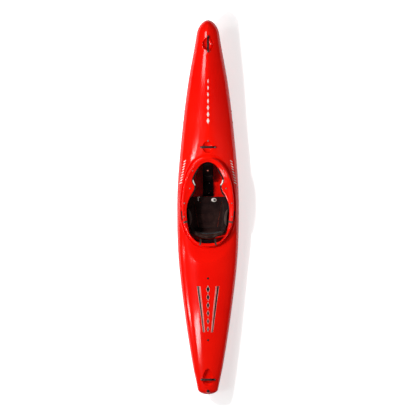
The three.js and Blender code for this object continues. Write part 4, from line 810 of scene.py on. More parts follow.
def turned(name, profile, sides=64, centre=(0, 0, 0)):
    """A solid of revolution about +Z through (radius, height) points, closed at both poles."""
    rings = []
    x, y, z = centre
    turns = [k / sides * 2 * math.pi for k in range(sides)]
    for radius, height in profile:
        r = max(radius, 0.00002)
        rings.append([(x + r * math.cos(a), y + r * math.sin(a), z + height) for a in turns])
    piece = lofted(name, rings)
    smooth(piece, 35)
    return piece


def master_bolt(name, radius, height, shank, length, socket_depth=0.5):
    """A button-head bolt with a six-sided socket, its head's seat at the origin."""
    clear_selection()
    bpy.ops.mesh.primitive_cylinder_add(vertices=48, radius=radius, depth=height * 0.4, location=(0, 0, height * 0.2))
    bolt = bpy.context.object
    settle(bolt)
    bpy.ops.object.mode_set(mode="EDIT")
    bpy.ops.mesh.select_all(action="DESELECT")
    bpy.ops.object.mode_set(mode="OBJECT")
    for face in bolt.data.polygons:
        face.select = face.normal.z > 0.9
    bpy.ops.object.mode_set(mode="EDIT")
    bpy.ops.mesh.inset(thickness=radius * 0.16)
    bpy.ops.transform.translate(value=(0, 0, height * 0.4))
    bpy.ops.mesh.inset(thickness=radius * 0.22)
    bpy.ops.transform.translate(value=(0, 0, height * 0.2))
    bpy.ops.mesh.inset(thickness=radius * 0.12)
    bpy.ops.object.mode_set(mode="OBJECT")
    points = points_of(bolt)
    for face in bolt.data.polygons:
        if face.select:
            for v in face.vertices:
                angle = math.atan2(points[v, 1], points[v, 0]) % (math.pi / 3)
                reach = radius * 0.46 / math.cos(angle - math.pi / 6)
                points[v, :2] *= reach / np.linalg.norm(points[v, :2])
    place_points(bolt, points)
    bpy.ops.object.mode_set(mode="EDIT")
    bpy.ops.mesh.extrude_region_move(TRANSFORM_OT_translate={"value": (0, 0, -height * socket_depth)})
    bpy.ops.object.mode_set(mode="OBJECT")
    modify(bolt, "BEVEL", width=radius * 0.06, segments=2, limit_method="ANGLE", angle_limit=math.radians(30))
    clear_selection()
    bpy.ops.mesh.primitive_cylinder_add(vertices=24, radius=shank, depth=length, location=(0, 0, -length / 2 + 0.0002))
    stem = bpy.context.object
    settle(stem)
    modify(stem, "BEVEL", width=shank * 0.25, segments=2, limit_method="ANGLE", angle_limit=math.radians(40))
    bolt = joined(name, [bolt, stem])
    smooth(bolt, 35)
    return bolt


def set_bolt(master, node, material, axis=(0, 0, 1), body="boat"):
    """A copy of the master bolt in the place of a packed bolt."""
    low, high = (np.array(c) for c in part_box(node))
    axis = np.array(axis, float)
    centre = (low + high) / 2
    tall = max(v.co.z for v in master.data.vertices)
    tip = centre + axis * (abs((high - low).dot(axis)) / 2)
    twin = master.copy()
    twin.data = master.data.copy()
    twin.name = twin.data.name = node + "_fine"
    bpy.context.scene.collection.objects.link(twin)
    turn = Vector((0, 0, 1)).rotation_difference(Vector(axis)).to_matrix().to_4x4()
    twin.matrix_world = Matrix.Translation(Vector(tip - axis * tall)) @ turn
    settle(twin)
    wear(twin, material, body)
    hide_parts(node)
    return twin


handle_bolt = master_bolt("handle_bolt", 0.0075, 0.0032, 0.0031, 0.0150)
rim_bolt = master_bolt("rim_bolt", 0.0065, 0.0030, 0.0031, 0.0170)
deck_screw = master_bolt("deck_screw", 0.0080, 0.0030, 0.0025, 0.0330)
for name in [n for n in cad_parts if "_bolt_" in n and "handle" in n]:
    set_bolt(handle_bolt, name, stainless)
for name in [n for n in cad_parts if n.startswith(("thigh_bolt", "hanger_bolt"))]:
    set_bolt(rim_bolt, name, dull_steel)
for name in [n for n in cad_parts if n.startswith("foot_rail_bolt")]:
    set_bolt(rim_bolt, name, stainless, axis=(-1 if name.endswith("left") else 1, 0, 0))
for name in ("rear_pillar_screw_front", "rear_pillar_screw_rear"):
    set_bolt(deck_screw, name, black_plastic)
set_bolt(deck_screw, "front_pillar_screw", dull_steel)
WASHER_OUTLINE = [(0, -0.0006), (0.0100, -0.0006), (0.0108, 0.0002), (0.0106, 0.0010), (0.0096, 0.0014), (0, 0.0012)]
for k, y in enumerate(SCREW_YS):
    washer = turned(f"deck_screw_washer_{k + 1}", WASHER_OUTLINE, 48, (0, y, surface_height(0, y)))
    wear(washer, handle_rubber, "boat")
for master in (handle_bolt, rim_bolt, deck_screw):
    bpy.data.objects.remove(master)

# Grab handles: the moulded bar, and a ribbed rubber grip round its middle
GRIP_HALF_LONG, GRIP_HALF_WIDE, GRIP_HALF_HIGH, GRIP_SAG, GRIP_WALL = 0.040, 0.0095, 0.0046, 0.0012, 0.0008
RIBS, RIB_HEIGHT = 16, 0.0007
for (y, length, along), seat, node in zip(HANDLE_SEATS, HANDLE_HEIGHTS, ("bow_handle", "mid_handle", "stern_handle")):
    bar = solid_copy(node, node + "_bar", bevel=0.0016, segments=3, angle=30)
    wear(bar, black_plastic, "boat")
    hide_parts(node)
    top = max(v.co.z for v in bar.data.vertices)
    rings = []
    for k in range(97):
        run = -GRIP_HALF_LONG + 2 * GRIP_HALF_LONG * k / 96
        rib = RIB_HEIGHT * (0.5 + 0.5 * math.cos(k / 96 * RIBS * 2 * math.pi))
        end = min(1.0, (48 - abs(k - 48)) / 5)
        swell = GRIP_WALL * math.sqrt(max(0.05, end)) + rib * end
        ring = []
        for nx, nz in squared_ring(36, 0.55, 0.55):
            wide, high = (GRIP_HALF_WIDE + swell) * nx, (GRIP_HALF_HIGH + swell) * nz
            z = top - GRIP_HALF_HIGH + high - GRIP_SAG * (run / GRIP_HALF_LONG) ** 2
            ring.append((wide, y + run, z) if along else (run, y + wide, z))
        rings.append(ring)
    grip = lofted(node + "_grip", rings)
    smooth(grip, 60)
    wear(grip, handle_rubber, "boat")

# Drain plug with a coin slot and a scalloped edge, on its gasket
PLUG_HEAD_HEIGHT, SCALLOPS, SCALLOP_SHARE = 0.0060, 12, 0.035
plug_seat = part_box("drain_plug")[1][2] - PLUG_HEAD_HEIGHT
profile = [(0, -0.016), (0.0075, -0.016), (0.009, -0.0145)]
RIDGES, RIDGE_STEP = 12, 0.0011
for k in range(RIDGES):
    profile += [(0.0090, -0.0138 + k * RIDGE_STEP), (0.0083, -0.01325 + k * RIDGE_STEP)]
profile += [
    (0.0088, -0.0002), (0.0088, 0), (0.0136, 0), (PLUG_RADIUS, 0.0004), (PLUG_RADIUS, 0.0036), (0.0132, 0.0046),
    (0.0120, 0.0056), (0.0100, PLUG_HEAD_HEIGHT), (0, PLUG_HEAD_HEIGHT),
]
plug = turned("drain_plug_head", profile, 96, (0, PLUG_Y, plug_seat))
points = points_of(plug)
for i, (x, y, z) in enumerate(points):
    if z > plug_seat + 0.0002 and math.hypot(x, y - PLUG_Y) > 0.0115:
        angle = math.atan2(y - PLUG_Y, x)
        pull = 1 - SCALLOP_SHARE * (0.5 + 0.5 * math.cos(angle * SCALLOPS))
        points[i, 0], points[i, 1] = x * pull, PLUG_Y + (y - PLUG_Y) * pull
place_points(plug, points)
clear_selection()
COIN_SLOT = (0.0196, 0.003, 0.005)
bpy.ops.mesh.primitive_cube_add(size=1, location=(0, PLUG_Y, plug_seat + PLUG_HEAD_HEIGHT), scale=COIN_SLOT)
slot = bpy.context.object
settle(slot)
modify(slot, "BEVEL", width=0.0008, segments=2)
modify(plug, "BOOLEAN", operation="DIFFERENCE", object=slot, solver="EXACT")
bpy.data.objects.remove(slot)
smooth(plug, 35)
wear(plug, black_plastic, "drain_plug")
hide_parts("drain_plug")
gasket_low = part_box("drain_gasket")[0][2]
section = [
    (0.00932, 0.0002), (0.0095, 0), (0.0124, 0), (0.0128, 0.0004),
    (0.0128, 0.0016), (0.0124, 0.0020), (0.0095, 0.0020), (0.00932, 0.0018),
]
rings = []
for k in range(72):
    across, ahead = math.cos(k / 36 * math.pi), math.sin(k / 36 * math.pi)
    rings.append([(r * across, PLUG_Y + r * ahead, gasket_low + z) for r, z in section])
gasket = lofted("drain_gasket_ring", rings, round_run=True)
smooth(gasket, 35)
wear(gasket, handle_rubber, "drain_gasket")
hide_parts("drain_gasket")

# Foam pillars. The rear one's top follows the dish of the rear deck
FOAM_CLEARANCE = 0.0015


def sliced(piece, cuts):
    """Cuts a solid across at each (place, direction), which gives its faces points to move."""
    edit_all(piece)
    for place, direction in cuts:
        bpy.ops.mesh.select_all(action="SELECT")
        bpy.ops.mesh.bisect(plane_co=place, plane_no=direction)
    finish_edit()


def lowered(piece, within):
    """Brings a pillar's top down to just below the deck's inner side, where within(y, z) holds."""
    points = points_of(piece)
    for i, (x, y, z) in enumerate(points):
        roof = surface_height(x, y) - under_groove(x, y) - WALL - FOAM_CLEARANCE
        if z > roof and within(y, z):
            points[i, 2] = roof
    place_points(piece, points)
    smooth(piece, 40)


rear_pillar = solid_copy("rear_pillar", "rear_pillar_foam", bevel=0.002, segments=1, angle=60)
cuts = [((0, -0.545 + k * 0.018, 0), (0, 1, 0)) for k in range(14)]
cuts += [((x, 0, 0), (1, 0, 0)) for x in (-0.04, -0.02, 0.0, 0.02, 0.04)]
sliced(rear_pillar, cuts)
lowered(rear_pillar, lambda y, z: y > -0.60)
wear(rear_pillar, foam_block, "boat")
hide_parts("rear_pillar")
for node in ("front_pillar", "bow_pillar"):
    block = solid_copy(node, node + "_foam", bevel=0.003, segments=2, angle=50)
    if node == "front_pillar":
        sliced(block, [((0, 0.462 + k * 0.006, 0), (0, 1, 0)) for k in range(16)])
        lowered(block, lambda y, z: z > 0.25 and 0.46 < y < 0.56)
    wear(block, foam_block, "boat")
    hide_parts(node)

# A bung in the front pillar's hole, and the lip of its ledge
front_block = bpy.data.objects["front_pillar_foam"]


def top_of(piece, x, y):
    hit, spot, _, _ = piece.ray_cast(Vector((x, y, 1)), Vector((0, 0, -1)))
    return spot.z if hit else 0.0


BUNG_X, BUNG_Y = -0.003, 0.370
BUNG_OUTLINE = [
    (0, -0.004), (0.0085, -0.004), (0.0085, 0.0004), (0.0095, 0.0012), (0.0095, 0.0020), (0.0070, 0.0026),
    (0.0062, 0.0014), (0, 0.0012),
]
bung = turned("front_pillar_bung", BUNG_OUTLINE, 48, (BUNG_X, BUNG_Y, top_of(front_block, BUNG_X, BUNG_Y)))
wear(bung, bung_plastic, "boat")
lip_path = []
for k in range(33):
    a = math.pi * k / 32
    x, y = -0.034 * math.cos(a), 0.325 - 0.010 * math.sin(a) ** 0.5
    lip_path.append((x, y, top_of(front_block, x, y) + 0.0012))
ledge_lip = ribbon("front_pillar_lip", lip_path, 0.0028, 0.0030, across=(0, 0, 1))
smooth(ledge_lip, 50)
wear(ledge_lip, ledge_foam, "boat")

# Floor rail in front of the seat, with its two screws
rail_low, rail_high = (np.array(c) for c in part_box("floor_rail"))
rail_low[1] -= 0.012
RAIL_GROOVE = 0.004
clear_selection()
bpy.ops.mesh.primitive_cube_add(size=1, location=tuple((rail_low + rail_high) / 2), scale=tuple(rail_high - rail_low))
floor_rail = bpy.context.object
floor_rail.name = floor_rail.data.name = "floor_rail_block"
settle(floor_rail)
bpy.ops.object.mode_set(mode="EDIT")
bpy.ops.mesh.select_all(action="DESELECT")
finish_edit()
for face in floor_rail.data.polygons:
    face.select = face.normal.z > 0.9
bpy.ops.object.mode_set(mode="EDIT")
bpy.ops.mesh.inset(thickness=0.010)
bpy.ops.mesh.extrude_region_move(TRANSFORM_OT_translate={"value": (0, 0, -RAIL_GROOVE)})
finish_edit()
clear_selection()
bpy.ops.mesh.primitive_cylinder_add(vertices=32, radius=0.006, depth=0.06, location=(0.028, 0.168, rail_high[2]))
hole = bpy.context.object
modify(floor_rail, "BOOLEAN", operation="DIFFERENCE", object=hole, solver="EXACT")
bpy.data.objects.remove(hole)
modify(floor_rail, "BEVEL", width=0.002, segments=2, limit_method="ANGLE", angle_limit=math.radians(40))
smooth(floor_rail, 40)
wear(floor_rail, foam_block, "boat")
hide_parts("floor_rail")
RAIL_SCREW_OUTLINE = [(0, 0), (0.006, 0), (0.006, 0.001), (0.0045, 0.0022), (0.002, 0.0026), (0, 0.0018)]
for k, (x, y) in enumerate([(0.013, 0.249), (0.011, 0.148)]):
    head = turned(f"floor_rail_screw_{k + 1}", RAIL_SCREW_OUTLINE, 32, (x, y, rail_high[2] - RAIL_GROOVE - 0.0001))
    wear(head, dull_steel, "boat")

# Hangers, ratchets and their levers, foot rails and the foot rest: the imported solids with their edges rounded
for node, body in [
    ("seat_hanger_left", "boat"), ("seat_hanger_right", "boat"), ("ratchet_left", "boat"), ("ratchet_right", "boat"),
    ("ratchet_lever_left", "ratchet_lever_left"), ("ratchet_lever_right", "ratchet_lever_right"),
    ("foot_rail_left", "boat"), ("foot_rail_right", "boat"), ("foot_plate", "foot_bulkhead"),
]:
    part = solid_copy(node, node + "_fine", bevel=0.0010, segments=2, angle=35)
    wear(part, black_plastic, body)
    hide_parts(node)

# ---------------------------------------------------------------- soft goods


def puffed(piece, voxel, cap, pressure=4.0):
    """Fills a padded form with air under cloth, no point moving further than the cap."""
    pick(piece)
    piece.data.remesh_voxel_size = voxel
    bpy.ops.object.voxel_remesh()
    start = points_of(piece).copy()
    cloth = piece.modifiers.new("Cloth", "CLOTH")
    cloth.settings.use_pressure = True
    cloth.settings.uniform_pressure_force = pressure
    cloth.settings.effector_weights.gravity = 0
    for step in range(1, 21):
        bpy.context.scene.frame_set(step)
    bpy.ops.object.modifier_apply(modifier="Cloth")
    bpy.context.scene.frame_set(1)
    move = points_of(piece) - start
    far = np.maximum(1e-9, np.linalg.norm(move, axis=1))
    place_points(piece, start + move * np.minimum(1, cap / far)[:, None])
    return piece


def finer(piece):
    modify(piece, "SUBSURF", levels=1, render_levels=1)
    smooth(piece)
    return piece


def pressed(piece, depth_at):
    """Moves every point along its own normal by depth_at(x, y, z), for seams, folds and creases."""
    points = points_of(piece)
    normals = np.zeros(len(points) * 3)
    piece.data.vertex_normals.foreach_get("vector", normals)
    normals = normals.reshape(-1, 3)
    depth = np.array([depth_at(*p) for p in points])
    place_points(piece, points + normals * depth[:, None])


def line_dip(value, width, depth):
    return -depth * math.exp(-(value / width) ** 2)


def laid(piece, target, lift):
    """Presses a thin piece onto the surface below it."""
    nearest = dict(wrap_method="NEAREST_SURFACEPOINT", wrap_mode="ABOVE_SURFACE")
    modify(piece, "SHRINKWRAP", target=target, offset=lift, **nearest)


# Seat: a moulded pan that turns up at the sides, with a padded cover
SEAT_HALF, SEAT_REAR, SEAT_FRONT, WING, PAN_Z, THIGH_RISE = 0.196, -0.236, 0.112, 0.112, 0.036, 0.056
LEG_SEAM, LEG_SPREAD = 0.46, 0.30


def seat_top(u, t):
    """The pan's height at shares across and along it: raised under the thighs, hollowed for each leg."""
    hollow = 1 - 0.35 * ramp(0.5, 1, t) * math.exp(-((abs(u) - 0.5) ** 2) * 18)
    floor = PAN_Z + THIGH_RISE * ramp(0.55, 0.95, t) * hollow
    floor += THIGH_RISE * 0.3 * ramp(0.3, 0, t) if t < 0.3 else 0
    return floor + (WING - floor) * ramp(0.72, 1, abs(u))


def seat_spot(u, t, lift):
    x = u * SEAT_HALF * (1 - 0.16 * (1 - t) ** 3 - 0.05 * t ** 6)
    return (x, SEAT_REAR + (SEAT_FRONT - SEAT_REAR) * t, seat_top(u, t) + lift)


pan = solid_copy("seat_pan", "seat_pan_cover", bevel=0.003, segments=3, angle=25)
wear(pan, seat_cloth, "seat")
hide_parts("seat_pan")


def seat_pad_ring(t, edge_u, top_lift, bottom_lift, columns=60):
    ring = []
    for k in range(columns + 1):
        u = -edge_u + 2 * edge_u * k / columns
        line = (abs(u) - 0.38 * (0.55 + 0.9 * t)) * 12
        sides = ramp(0.92, 0.66, abs(u)) if abs(u) > 0.66 else 1
        edge = min(sides, ramp(0.06, 0.22, t), ramp(0.95, 0.82, t) if t > 0.82 else 1)
        thick = top_lift + 0.010 * edge * (1 - 0.5 * math.exp(-line * line))
        ring.append(seat_spot(u, t, thick))
    for k in range(columns, -1, -1):
        u = -edge_u + 2 * edge_u * k / columns
        ring.append(seat_spot(u, t, bottom_lift))
    return ring


seat_pad = lofted("seat_cushion", [seat_pad_ring(0.09 + 0.83 * k / 60, 0.90, 0.0085, 0.0006) for k in range(61)])
puffed(seat_pad, 0.0045, 0.006)
finer(seat_pad)


def seat_seams(x, y, z):
    t = (y - SEAT_REAR) / (SEAT_FRONT - SEAT_REAR)
    across = abs(x) / SEAT_HALF
    leg = across - (LEG_SEAM + LEG_SPREAD * t)
    dip = line_dip(leg * SEAT_HALF, 0.0050, 0.0050) if y > -0.06 else 0
    dip += line_dip((y + 0.045 + 0.12 * across * across), 0.0050, 0.0040) if across < 0.80 else 0
    dip += line_dip((y + 0.150), 0.004, 0.0022) if across < 0.7 else 0
    fold = 0.0011 * math.sin(46 * (x * math.copysign(1, x) * 0.8 + y * 1.3)) * ramp(0.10, 0.9, across)
    return dip + fold


pressed(seat_pad, seat_seams)
wear(seat_pad, seat_cloth, "seat")
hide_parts("seat_pad")

# Hip pads: lens-shaped foam under cloth, one each side
HIP_OUTER, HIP_TAPER, HIP_REAR, HIP_LENGTH, HIP_Z = 0.1995, 0.013, -0.174, 0.160, 0.176
HIP_HALF_THICK, HIP_HALF_TALL = 0.0178, 0.058
hip_rings = []
for k in range(49):
    run = k / 48
    y = HIP_REAR + HIP_LENGTH * run
    swell = math.sin(math.pi * run) ** 0.45
    ring = []
    thick, tall = HIP_HALF_THICK * max(0.12, swell), HIP_HALF_TALL * (0.55 + 0.45 * swell)
    outer = HIP_OUTER - HIP_TAPER * (1 - run) ** 2
    for nx, nz in squared_ring(40, 0.7, 0.55):
        ring.append((outer - thick - 0.0005 + thick * nx, y, HIP_Z + tall * nz))
    hip_rings.append(ring)
hip_right = lofted("hip_cushion_right", hip_rings)
puffed(hip_right, 0.0045, 0.004)
finer(hip_right)


def hip_seam(x, y, z):
    """An oval seam inside the pad's edge."""
    return line_dip(math.hypot((y + 0.094) / 0.066, (z - HIP_Z) / 0.045) - 0.86, 0.07, 0.0016)


pressed(hip_right, hip_seam)
hip_left = mirrored(hip_right, "hip_cushion_left")
for pad, node in ((hip_right, "hip_pad_right"), (hip_left, "hip_pad_left")):
    wear(pad, hip_cloth, "seat")
    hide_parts(node)

# Backband: a curved shell with a padded front that rolls over its top edge
BAND_X, BAND_Y, BAND_REACH = 0.176, -0.300, 0.068
BAND_HIGH, BAND_LOW, BAND_DROP, BAND_ROLL, BAND_AHEAD, BAND_PAD_HALF = 0.232, 0.1175, 0.0319, 0.002, 0.0161, 0.0095


def band_point(u, ahead, z):
    x, y = BAND_X * u, BAND_Y + BAND_REACH * u * u
    run = np.array([BAND_X, 2 * BAND_REACH * u])
    run /= np.linalg.norm(run)
    return (x - run[1] * ahead, y + run[0] * ahead, z)


shell = solid_copy("backband_shell", "backband_plate", bevel=0.0012, segments=2, angle=35)
wear(shell, matt_plastic, "backband")
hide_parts("backband_shell")
band_rings = []
for k in range(81):
    u = -0.955 + 1.91 * k / 80
    top = BAND_HIGH - BAND_DROP * u * u + BAND_ROLL
    end = math.sqrt(max(0.0, 1 - (u / 0.97) ** 8))
    ring = []
    for nx, nz in squared_ring(48, 0.6, 0.5):
        depth = BAND_PAD_HALF * max(0.4, end) * (1.0 + 0.15 * nz)
        z = (BAND_LOW + top) / 2 + (top - BAND_LOW) / 2 * max(0.5, end) * nz
        ring.append(band_point(u, BAND_AHEAD + depth * nx * 0.98, z))
    band_rings.append(ring)
band_pad = lofted("backband_cushion", band_rings)
puffed(band_pad, 0.0045, 0.006)
finer(band_pad)


def band_seams(x, y, z):
    dip = line_dip(z - 0.214, 0.0032, 0.0026) + line_dip(z - 0.150, 0.0032, 0.0020)
    dip += line_dip(abs(x) - 0.088, 0.0035, 0.0022)
    return dip + 0.0006 * math.sin(x * 190) * ramp(0.20, 0.235, z)


pressed(band_pad, band_seams)
wear(band_pad, band_cloth, "backband")
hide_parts("backband_pad")

# Cloth apron from the seat's rear edge up towards the backband
APRON_HALF, APRON_FRONT, APRON_REAR, APRON_BOW, APRON_TOP, APRON_THICK = 0.158, -0.232, -0.264, 0.050, 0.110, 0.0016
APRON_SAG, APRON_CREASE = 0.006, 0.0012
apron_rings = []
for k in range(31):
    share = k / 30
    ring = []
    for j in range(61):
        u = -1 + 2 * j / 60
        rear = APRON_REAR + APRON_BOW * u * u
        base = seat_top(u * 0.8, 0.01)
        x = u * (APRON_HALF + 0.008 * share)
        y = APRON_FRONT + (rear - APRON_FRONT) * share
        z = base + 0.004 + (APRON_TOP - base) * share ** 1.3 - APRON_SAG * math.sin(math.pi * share)
        ring.append((x, y, z + APRON_CREASE * math.sin(j * 0.9 + k * 0.3)))
    ring += [(x, y, z - APRON_THICK) for x, y, z in reversed(ring)]
    apron_rings.append(ring)
apron = lofted("seat_apron", apron_rings)
wear(apron, seat_cloth, "seat")

# Stitched piping along both sides of the seat, laid from above onto the seam beside each leg
PIPING_DROP, PIPING_HALF, PIPING_THICK = 0.022, 0.0021, 0.0020
for side, word in SIDES:
    line = []
    for k in range(60):
        t = 0.14 + 0.72 * k / 59
        across = LEG_SEAM + LEG_SPREAD * t
        y = SEAT_REAR + (SEAT_FRONT - SEAT_REAR) * t
        line.append((side * across * SEAT_HALF * 0.96, y, seat_top(across, t) + PIPING_DROP))
    cord = ribbon(f"seat_piping_{word}", line, PIPING_HALF, PIPING_THICK)
    laid(cord, seat_pad, 0.0004)
    smooth(cord)
    wear(cord, piping_cord, "seat")

# Rear straps over the rim, and side tapes, each laid on the rim's own section


RIM_TOP_SIDE = slice(1, 17)
REAR_STRAP_X, SIDE_TAPE_Y = 0.0730, -0.134


def over_rim(i, lift):
    """Points just above the rim's top side at one station, from its rolled edge to the lip."""
    points = np.array(rim_ring(i)[RIM_TOP_SIDE])
    out = (RIM_OUTER[i] - RIM_EDGE[i]) / np.linalg.norm(RIM_OUTER[i] - RIM_EDGE[i])
    path = []
    for k, point in enumerate(points):
        run = points[min(k + 1, len(points) - 1)] - points[max(k - 1, 0)]
        level = run[:2].dot(out)
        size = math.hypot(level, run[2])
        path.append((*(point[:2] - out * lift * run[2] / size), point[2] + lift * level / size))
    return path


for side, word in SIDES:
    half = [i for i in range(RIM_STATIONS) if RIM_EDGE[i][0] * side > 0]
    spot = min((i for i in half if RIM_EDGE[i][1] < -0.2), key=lambda i: abs(abs(RIM_EDGE[i][0]) - REAR_STRAP_X))
    top = over_rim(spot, 0.0016)
    start = top[0]
    path = [(side * 0.0710, -0.3035, 0.206), (side * 0.0715, -0.3080, 0.222), (side * 0.0722, -0.3200, 0.256),
            (side * 0.0728, start[1] + 0.0060, start[2] - 0.0120)] + top
    strap = ribbon(f"backband_webbing_{word}", path, 0.0085, 0.0020, across=(1, 0, 0), steps=110)
    smooth(strap, 60)
    strap.data.materials.append(grey_webbing)
    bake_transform(strap)
    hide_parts(f"backband_strap_{word}")
    spot = min(half, key=lambda i: abs(RIM_EDGE[i][1] - SIDE_TAPE_Y))
    top = over_rim(spot, 0.0015)
    start = top[0]
    path = [(start[0], start[1], 0.262), (start[0] + side * 0.0005, start[1], start[2] - 0.020),
            (start[0], start[1], start[2] - 0.008)] + top
    tape = ribbon(f"side_webbing_{word}", path, 0.0095, 0.0018, across=(0, 1, 0), steps=110)
    smooth(tape, 60)
    wear(tape, grey_webbing, "boat")
    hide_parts(f"side_tape_{word}")

# Thigh braces: the hooked plate, its foam pad along the flange's edge and a small white tag
BRACE_FRONT, BRACE_REAR, BRACE_REACH, BRACE_WAVE, BRACE_DROP, BRACE_LIFT = 0.392, 0.112, 0.0165, 0.0015, 0.034, 0.0012
TAG_REAR, TAG_FRONT = 0.212, 0.278
brace_first = next(i for i in range(RIM_STATIONS // 2) if RIM_EDGE[i][1] < BRACE_FRONT and RIM_EDGE[i][0] > 0)
brace_last = max(i for i in range(RIM_STATIONS // 2) if RIM_EDGE[i][1] > BRACE_REAR)


def brace_section(i, grow=0.0, part=(0, 24)):
    """The pad's section in the plane square to the flange's edge."""
    edge = RIM_EDGE[i]
    crest = rim_crest_line(i)
    run = RIM_EDGE[(i + 1) % RIM_STATIONS] - RIM_EDGE[i - 1]
    run /= np.linalg.norm(run)
    inward = np.array([run[1], -run[0]])
    if inward.dot(edge - crest) < 0:
        inward = -inward
    under = rim_crest(edge[1]) - EDGE_DROP - WALL
    share = (i - brace_first) / (brace_last - brace_first)
    end = min(1.0, math.sqrt(max(0.0, 1 - (2 * share - 1) ** 10)) + 0.15)
    profile = []
    for k in range(part[0], part[1] + 1):
        a = k / 24 * math.pi
        reach = (BRACE_REACH + BRACE_WAVE * math.sin(i * 0.33)) * end * math.sin(a) ** 0.38 if 0 < k < 24 else 0.0
        profile.append((reach + grow, BRACE_LIFT - BRACE_DROP * end * (1 - math.cos(a)) / 2))
    return edge, inward, under, profile


def brace_pad_ring(i):
    edge, inward, under, profile = brace_section(i)
    ring = []
    for reach, down in profile:
        x, y = edge + inward * (reach - 0.0008)
        ring.append((x, y, under + down))
    for back in (0.010, 0.020):
        x, y = edge - inward * back
        ring.append((x, y, under - 0.020 + back * 0.55))
    x, y = edge - inward * 0.014
    ring.append((x, y, under - 0.0012))
    return ring


pad_right = lofted("thigh_cushion_right", [brace_pad_ring(i) for i in range(brace_first, brace_last + 1)])
finer(pad_right)
pressed(pad_right, lambda x, y, z: 0.0005 * math.sin(y * 420) + 0.0004 * math.sin(y * 177 + 1))
pad_left = mirrored(pad_right, "thigh_cushion_left")
tag_rings = []
tag_stations = [i for i in range(brace_first, brace_last + 1) if TAG_REAR < RIM_EDGE[i][1] < TAG_FRONT]
for i in tag_stations:
    edge, inward, under, profile = brace_section(i, 0.0008, (1, 13))
    outer = [(*(edge + inward * reach), under + down + 0.0010) for reach, down in profile]
    inner = [(*(edge + inward * (reach - 0.0014)), under + down + 0.0004) for reach, down in reversed(profile)]
    tag_rings.append(outer + inner)
tag_right = lofted("brace_tag_right", tag_rings)
smooth(tag_right, 40)
tag_left = mirrored(tag_right, "brace_tag_left")
for pad, tag, word in ((pad_right, tag_right, "right"), (pad_left, tag_left, "left")):
    wear(pad, brace_foam, "boat")
    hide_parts(f"thigh_pad_{word}")
    wear(tag, white_plastic, "boat")
    brace = solid_copy(f"thigh_brace_{word}", f"thigh_hook_{word}", bevel=0.0008, segments=2, angle=35)
    wear(brace, black_plastic, "boat")
    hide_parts(f"thigh_brace_{word}")

# Thigh strap across the front of the seat, with its buckle and hook
STRAP_Y, FOLD_Y = 0.092, 0.0985
strap_low, strap_high = (np.array(c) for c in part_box("thigh_strap"))


def on_seat_front(x, y, lift):
    """A point above the seat's front edge, on the higher of two lines across it."""
    u = x / (SEAT_HALF * 0.95)
    return (x, y, max(seat_top(u, 0.94), seat_top(u, 0.90)) + lift)


path = [on_seat_front(strap_low[0] + (strap_high[0] - strap_low[0]) * k / 24, STRAP_Y, 0.0050) for k in range(25)]
strap = ribbon("thigh_webbing", path, 0.0115, 0.0020, across=(0, 1, 0), steps=60)
smooth(strap, 60)
wear(strap, black_webbing, "seat")
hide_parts("thigh_strap")
fold = [on_seat_front(-0.041 + 0.058 * k / 12, FOLD_Y, 0.0068) for k in range(13)]
keeper = ribbon("thigh_webbing_fold", fold, 0.0042, 0.0018, across=(0, 1, 0), steps=30)
smooth(keeper, 60)
wear(keeper, grey_webbing, "seat")
BUCKLE_SCALE = 0.88
for node in ("thigh_strap_buckle", "thigh_strap_hook"):
    part = solid_copy(node, node + "_fine", bevel=0.0011, segments=3, angle=30)
    if node == "thigh_strap_buckle":
        points = points_of(part)
        middle = (points.min(0) + points.max(0)) / 2
        points[:, :2] = middle[:2] + (points[:, :2] - middle[:2]) * BUCKLE_SCALE
        place_points(part, points)
    wear(part, white_plastic, "seat")
    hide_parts(node)

buckle_low, buckle_high = (np.array(c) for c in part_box("thigh_strap_buckle"))
CORE_X = 0.0640
CORE_OUTLINE = [
    (0, -0.006), (0.0085, -0.006), (0.0098, -0.0010), (0.0098, 0.0004), (0.0088, 0.0010), (0.0050, 0.0004), (0, 0),
]
core_spot = (CORE_X, (buckle_low[1] + buckle_high[1]) / 2, buckle_high[2])
core = turned("buckle_core", CORE_OUTLINE, 48, core_spot)
wear(core, black_plastic, "seat")

# Foot rest pad: a foam block with soft edges and pressed grooves
plate_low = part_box("foot_plate_pad")[0]
foot_pad = solid_copy("foot_plate_pad", "foot_cushion", bevel=0.007, segments=3, angle=35)
pick(foot_pad)
foot_pad.data.remesh_voxel_size = 0.005
bpy.ops.object.voxel_remesh()
modify(foot_pad, "SMOOTH", factor=0.5, iterations=4)
GROOVE_STEP = 0.052


def foot_grooves(x, y, z):
    """Level grooves at even heights, on the side toward the feet."""
    if y < plate_low[1] + 0.012:
        return line_dip(((z - plate_low[2]) % GROOVE_STEP) - GROOVE_STEP / 2, 0.004, 0.0025)
    return 0.0


pressed(foot_pad, foot_grooves)
smooth(foot_pad)
wear(foot_pad, foam_block, "foot_bulkhead")
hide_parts("foot_plate_pad")

# ---------------------------------------------------------------- printed bands on the deck

PRINT_LIFT, UNDER_LIFT, OVER_LIFT, POINTED = 0.0005, 0.0004, 0.0008, 0.0006


